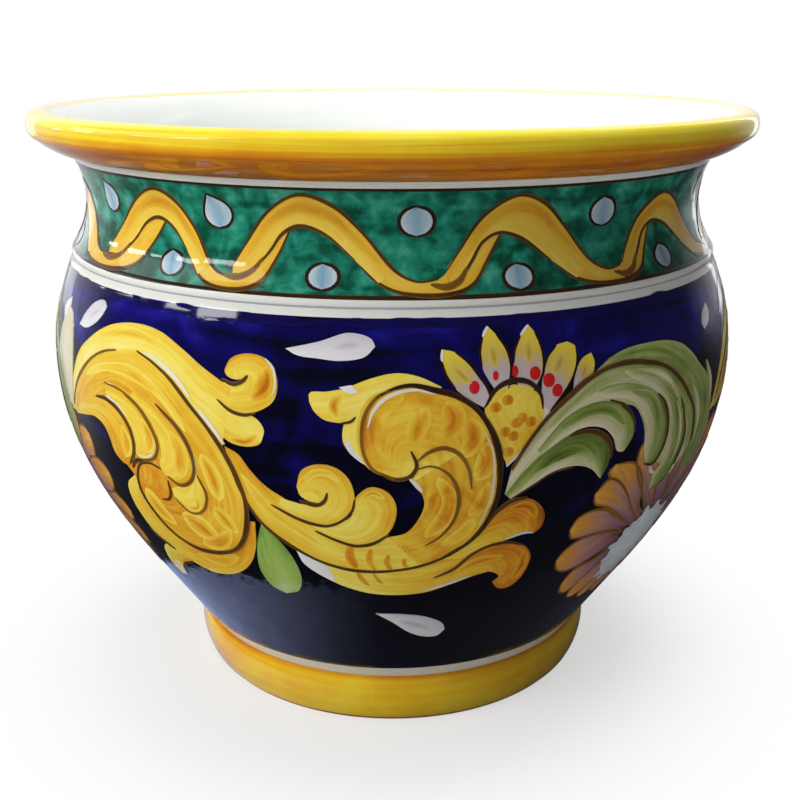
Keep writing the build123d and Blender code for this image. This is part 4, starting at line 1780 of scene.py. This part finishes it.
@dataclass
class Drops(Motif):
    """Loose drops between the scrolls."""

    name: str = "drops"
    green_left: Path = ((-19.1, 110.2), (-20.8, 99.1), (-21.7, 85.8), (-20.6, 78), (-18.5, 75.2))
    green_right: Path = (
        (-19.1, 110.2), (-17, 103.6), (-15.3, 95.8), (-14.7, 85.8), (-15.9, 78), (-18.5, 75.2),
    )
    pale: tuple[tuple[Path, Path], ...] = (
        (
            ((-14.5, 174.7), (-9.9, 177.4), (-5.8, 180.4), (-2.8, 178.6), (-2.3, 176.3)),
            ((-14.5, 174.7), (-12.8, 172.8), (-9.9, 172.1), (-7, 171.6), (-3.7, 173), (-2.3, 176.3)),
        ),
        (
            ((-56, 168.9), (-54.1, 174.7), (-51.6, 179.1), (-49.1, 180.4), (-48.1, 178.6)),
            ((-56, 168.9), (-53.7, 168.6), (-51.2, 170.8), (-49.1, 174.7), (-48.1, 178.6)),
        ),
        (
            ((-3, 67.5), (2, 67), (6, 65), (9.5, 60), (10.3, 56)),
            ((-3, 67.5), (0, 62), (3, 55.5), (6, 52), (9, 51.8), (10.3, 56)),
        ),
        (
            ((57.8, 176.2), (55.6, 173.5), (54.7, 170), (55.4, 167.2)),
            ((57.8, 176.2), (58.3, 173), (57.6, 169.4), (55.4, 167.2)),
        ),
    )

    def strokes(self) -> dict[Pigment, list[Stroke]]:
        """The green drop and the pale ones, each with a few strokes of shade."""
        return {
            Pigment.GREEN_DROP: [
                Limb(self.green_left, self.green_right, 3, (0.7, 0.3, 0.6), (0.4, -0.1)),
                wash(((-19.6, 104), (-20.4, 94), (-20.2, 83)), 3.6, 4, 0.5, 0.86),
            ],
            Pigment.PALE: [
                *[Limb(upper, lower, 3, (0.62, 0.3, 0.18), (-0.1, 0.12)) for upper, lower in self.pale],
                wash(((-8, 175.4), (-5.6, 176.8), (-3.8, 176.6)), 3.0, 4, 0.4, 0.85),
                wash(((-53, 172.4), (-51, 175.6), (-49.4, 177.6)), 2.4, 4, 0.36, 0.75),
                wash(((1, 63), (4.6, 60), (8, 56)), 4.4, 4, 0.4, 0.9),
            ],
        }


@dataclass
class EdgeLeafAndSheen(Motif):
    """A pale leaf at the left edge, which isn't repeated; its pale colour also paints the reflection along
    the belly's left edge.
    """

    name: str = "edge_leaf_and_sheen"
    repeats: tuple[float, ...] = (0.0,)
    left: Path = ((-64, 136), (-66.2, 155), (-63.6, 169), (-62, 173))
    right: Path = ((-59.4, 134), (-58.1, 146), (-57.8, 160), (-59.6, 171), (-62, 173))

    def strokes(self) -> dict[Pigment, list[Stroke]]:
        """One pale leaf, partly a painted reflection."""
        # Pale leaf whose colour also stands in for the painted reflection at the belly's left edge.
        return {Pigment.CREAM: [Limb(self.left, self.right, 9, (0.4, 0.25, 0.4))]}


@dataclass(frozen=True)
class Wave:
    """One wave of the ribbon, and where the hand went off the common shape.

    Attributes:
        crest: Degrees round to its crest.
        upper_drop: How far its upper edge lies low at the crest, in millimetres.
        lower_drop: How far its lower edge lies low there.
        lower_turn: How far its lower edge is turned there, in degrees.
        start_turn: How far its start is turned.
        tail_turn: How far its tail is turned.
    """

    crest: float
    upper_drop: float = 0.0
    lower_drop: float = 0.0
    lower_turn: float = 0.0
    start_turn: float = 0.0
    tail_turn: float = 0.0


@dataclass
class NeckRibbon(Motif):
    """The wavy ribbon round the neck, with drops above its troughs and below its crests."""

    name: str = "neck_ribbon"
    period: float = 30.0
    upper: Path = (
        (-11.4, 194.5), (-11.8, 199.4), (-9.8, 206.2), (-5.4, 217.4), (0.6, 223.8), (5, 220.4), (9, 211.6),
        (13.6, 199.1), (16.4, 196), (19.2, 196.6), (22, 202.6), (25.4, 210.4), (28.6, 213),
    )
    lower: Path = (
        (-11.4, 194.5), (-8.2, 197.4), (-5.2, 204.1), (-2.8, 210.4), (0.2, 213.2), (3.6, 211), (8, 202.6),
        (11.3, 195.6), (14.4, 192.6), (20.8, 192.1), (24, 195), (26, 201.4), (28.6, 212),
    )
    shade: Path = ((-9.6, 202), (-5.4, 213.6), (0.2, 219.6), (4.4, 217.4), (8.2, 209.4), (12, 200.6))
    fold: Path = ((-13.4, 195.8), (-10.6, 195.6), (-8, 198), (-6.2, 202.4))
    waves: tuple[Wave, ...] = (
        Wave(-39.6, upper_drop=1.2, lower_drop=1.0),
        Wave(-14.0),
        Wave(18.0, upper_drop=0.5, lower_drop=2.4, lower_turn=-2.4, start_turn=2.4),
        Wave(47.6, upper_drop=4.6, lower_drop=3.6, lower_turn=-1.6, start_turn=1.4, tail_turn=3.4),
    )
    upper_drops: tuple[tuple[float, float, float], ...] = (
        (-53, 216, 1.8), (-27, 215.8, 1.9), (3.5, 215.2, 0.2), (34, 215.4, 0.5),
    )
    lower_drops: tuple[tuple[float, float, float], ...] = (
        (-35.5, 197.5, 0.5), (-10, 197.2, 0.2), (18.5, 196.4, 0.2), (48, 196.6, 0.6),
    )
    upper_size: tuple[float, float] = (2.6, 5.0)
    lower_size: tuple[float, float] = (2.4, 4.1)
    tip_lean: float = 0.3
    tip_rise: float = 0.9
    crest_reach: float = 16.0
    start_reach: float = 10.0
    tail_start: float = 14.0

    def unit(self, path: Path, number: int, drop: float = 0.0, turn: float = 0.0) -> Path:
        """A path of the wave, stretched to lie between its neighbours' crests.

        Args:
            path: Degrees from the crest and millimetres up.
            number: Which wave.
            drop: How far the path is lowered at the crest, in millimetres.
            turn: How far it is turned at the crest, in degrees.

        Returns:
            The path in its place on the neck.
        """
        wave = self.waves[number]
        last = len(self.waves) - 1
        before = self.waves[number - 1].crest - (0.0 if number else THIRD)
        after = self.waves[0].crest + THIRD if number == last else self.waves[number + 1].crest
        points = []
        for deg, up in path:
            gap = after - wave.crest if deg > 0 else wave.crest - before
            crest = max(0.0, 1.0 - (deg / self.crest_reach) ** 2)
            start = min(1.0, max(0.0, -deg / self.start_reach))
            tail = max(0.0, (deg - self.tail_start) / self.tail_start)
            swing = turn * crest + wave.start_turn * start + wave.tail_turn * tail
            points.append((wave.crest + deg * gap / self.period + swing, up - drop * crest))
        return tuple(points)

    def strokes(self) -> dict[Pigment, list[Stroke]]:
        """Each wave lies over the tail of the one before it."""
        ribbon: list[Stroke] = []
        ink: list[Stroke] = []
        for number, wave in enumerate(self.waves):
            upper = self.unit(self.upper, number, wave.upper_drop)
            lower = self.unit(self.lower, number, wave.lower_drop, wave.lower_turn)
            ribbon.append(Limb(upper[:8], lower[:8], 4, (0.5, 0.4, 0.26), (0.0, -0.06)))
            ribbon.append(Limb(upper[7:], lower[7:], 1, (0.34, 0.34, 0.44), (0.0, 0.1)))
            ribbon.append(wash(self.unit(self.shade, number, wave.upper_drop), 5.0, 5, 0.44, 0.78))
            ink.append(Line(upper[1:10], 1.3, 6))
            ink.append(Line(lower[1:7], 1.3, 6))
            ink.append(Line(lower[6:], 1.4, 3))
            ink.append(Line(self.unit(self.fold, number, wave.lower_drop, wave.lower_turn), 2.0, 7, BROWN))
        drops = [self.drop(deg, up, *self.upper_size, tip) for deg, up, tip in self.upper_drops]
        drops += [self.drop(deg, up, *self.lower_size, tip) for deg, up, tip in self.lower_drops]
        for shape in drops:
            ink += [
                Line(side, 1.2, 2, (0.5, 0.7, 0.5), (0.0, 0.0), 0.5)
                for side in (shape.edge_a, shape.edge_b)
            ]
        return {Pigment.RIBBON: ribbon, Pigment.SKY: drops, Pigment.INK: ink}

    def drop(self, deg: float, up: float, wide: float, tall: float, tip: float) -> Limb:
        """A round drop whose tip points to the upper left.

        Args:
            deg: Degrees round to its middle.
            up: Millimetres up to its middle.
            wide: Half width in degrees.
            tall: Half height in millimetres.
            tip: How far the tip stands above the round part, in millimetres.

        Returns:
            The drop, laid from its tip to its bottom.
        """
        point = (deg - wide * self.tip_lean * tip, up + tall + self.tip_rise * tip)
        angles = [math.radians(90 - 36 * step) for step in range(1, 6)]
        right = [(deg + wide * math.cos(a), up + tall * math.sin(a)) for a in angles]
        left = [
            (deg - wide * math.cos(a), up + tall * math.sin(a))
            for a in (angles[1:] if tip > 1 else angles)
        ]
        return Limb((point, *left), (point, *right), 1, (0.4, 0.92, 0.5), (0.0, 0.0))


@dataclass
class BandLines(Motif):
    """Lines drawn round the pot on the wheel, the brushed upper edge of the cobalt, and painted shade at the
    bead.
    """

    name: str = "band_lines"
    repeats: tuple[float, ...] = (0.0,)

    def strokes(self) -> dict[Pigment, list[Stroke]]:
        """Dark lines at the collar and the neck, the cobalt edge, and a thin grey line of painted shade in
        the bead's crease.
        """
        return {
            Pigment.INK: [
                Ring(226.2, width=1.9, sway=0.25, seed=3),
                Ring(191.2, width=1.2, sway=0.25, seed=5),
            ],
            Pigment.BLUE: [Ring(183.4, width=2.6, sway=0.4, seed=11, rough=0.6)],
            # A thin grey line of painted shade in the crease of the white bead.
            Pigment.PALE: [Ring(187.9, width=0.6, sway=0.1, seed=2, tones=(0.7, 1.0, 0.7))],
        }


def clear_stage() -> None:
    """Removes what a new file starts with."""
    for thing in list(bpy.data.objects):
        bpy.data.objects.remove(thing)


def main() -> None:
    """Builds the dressed pot and its stage."""
    logging.basicConfig(level=logging.INFO)
    clear_stage()
    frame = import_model()
    Studio().build()
    ClayBody().dress(frame["nodes"])
    pot = GlazeCoat().build(frame["nodes"])
    for motif in (
        RoundScroll(), SScroll(), SunFlower(), Acanthus(), RoundFlower(), Drops(), EdgeLeafAndSheen(),
        NeckRibbon(), BandLines(),
    ):
        motif.build(pot)


if __name__ == "__main__":
    main()
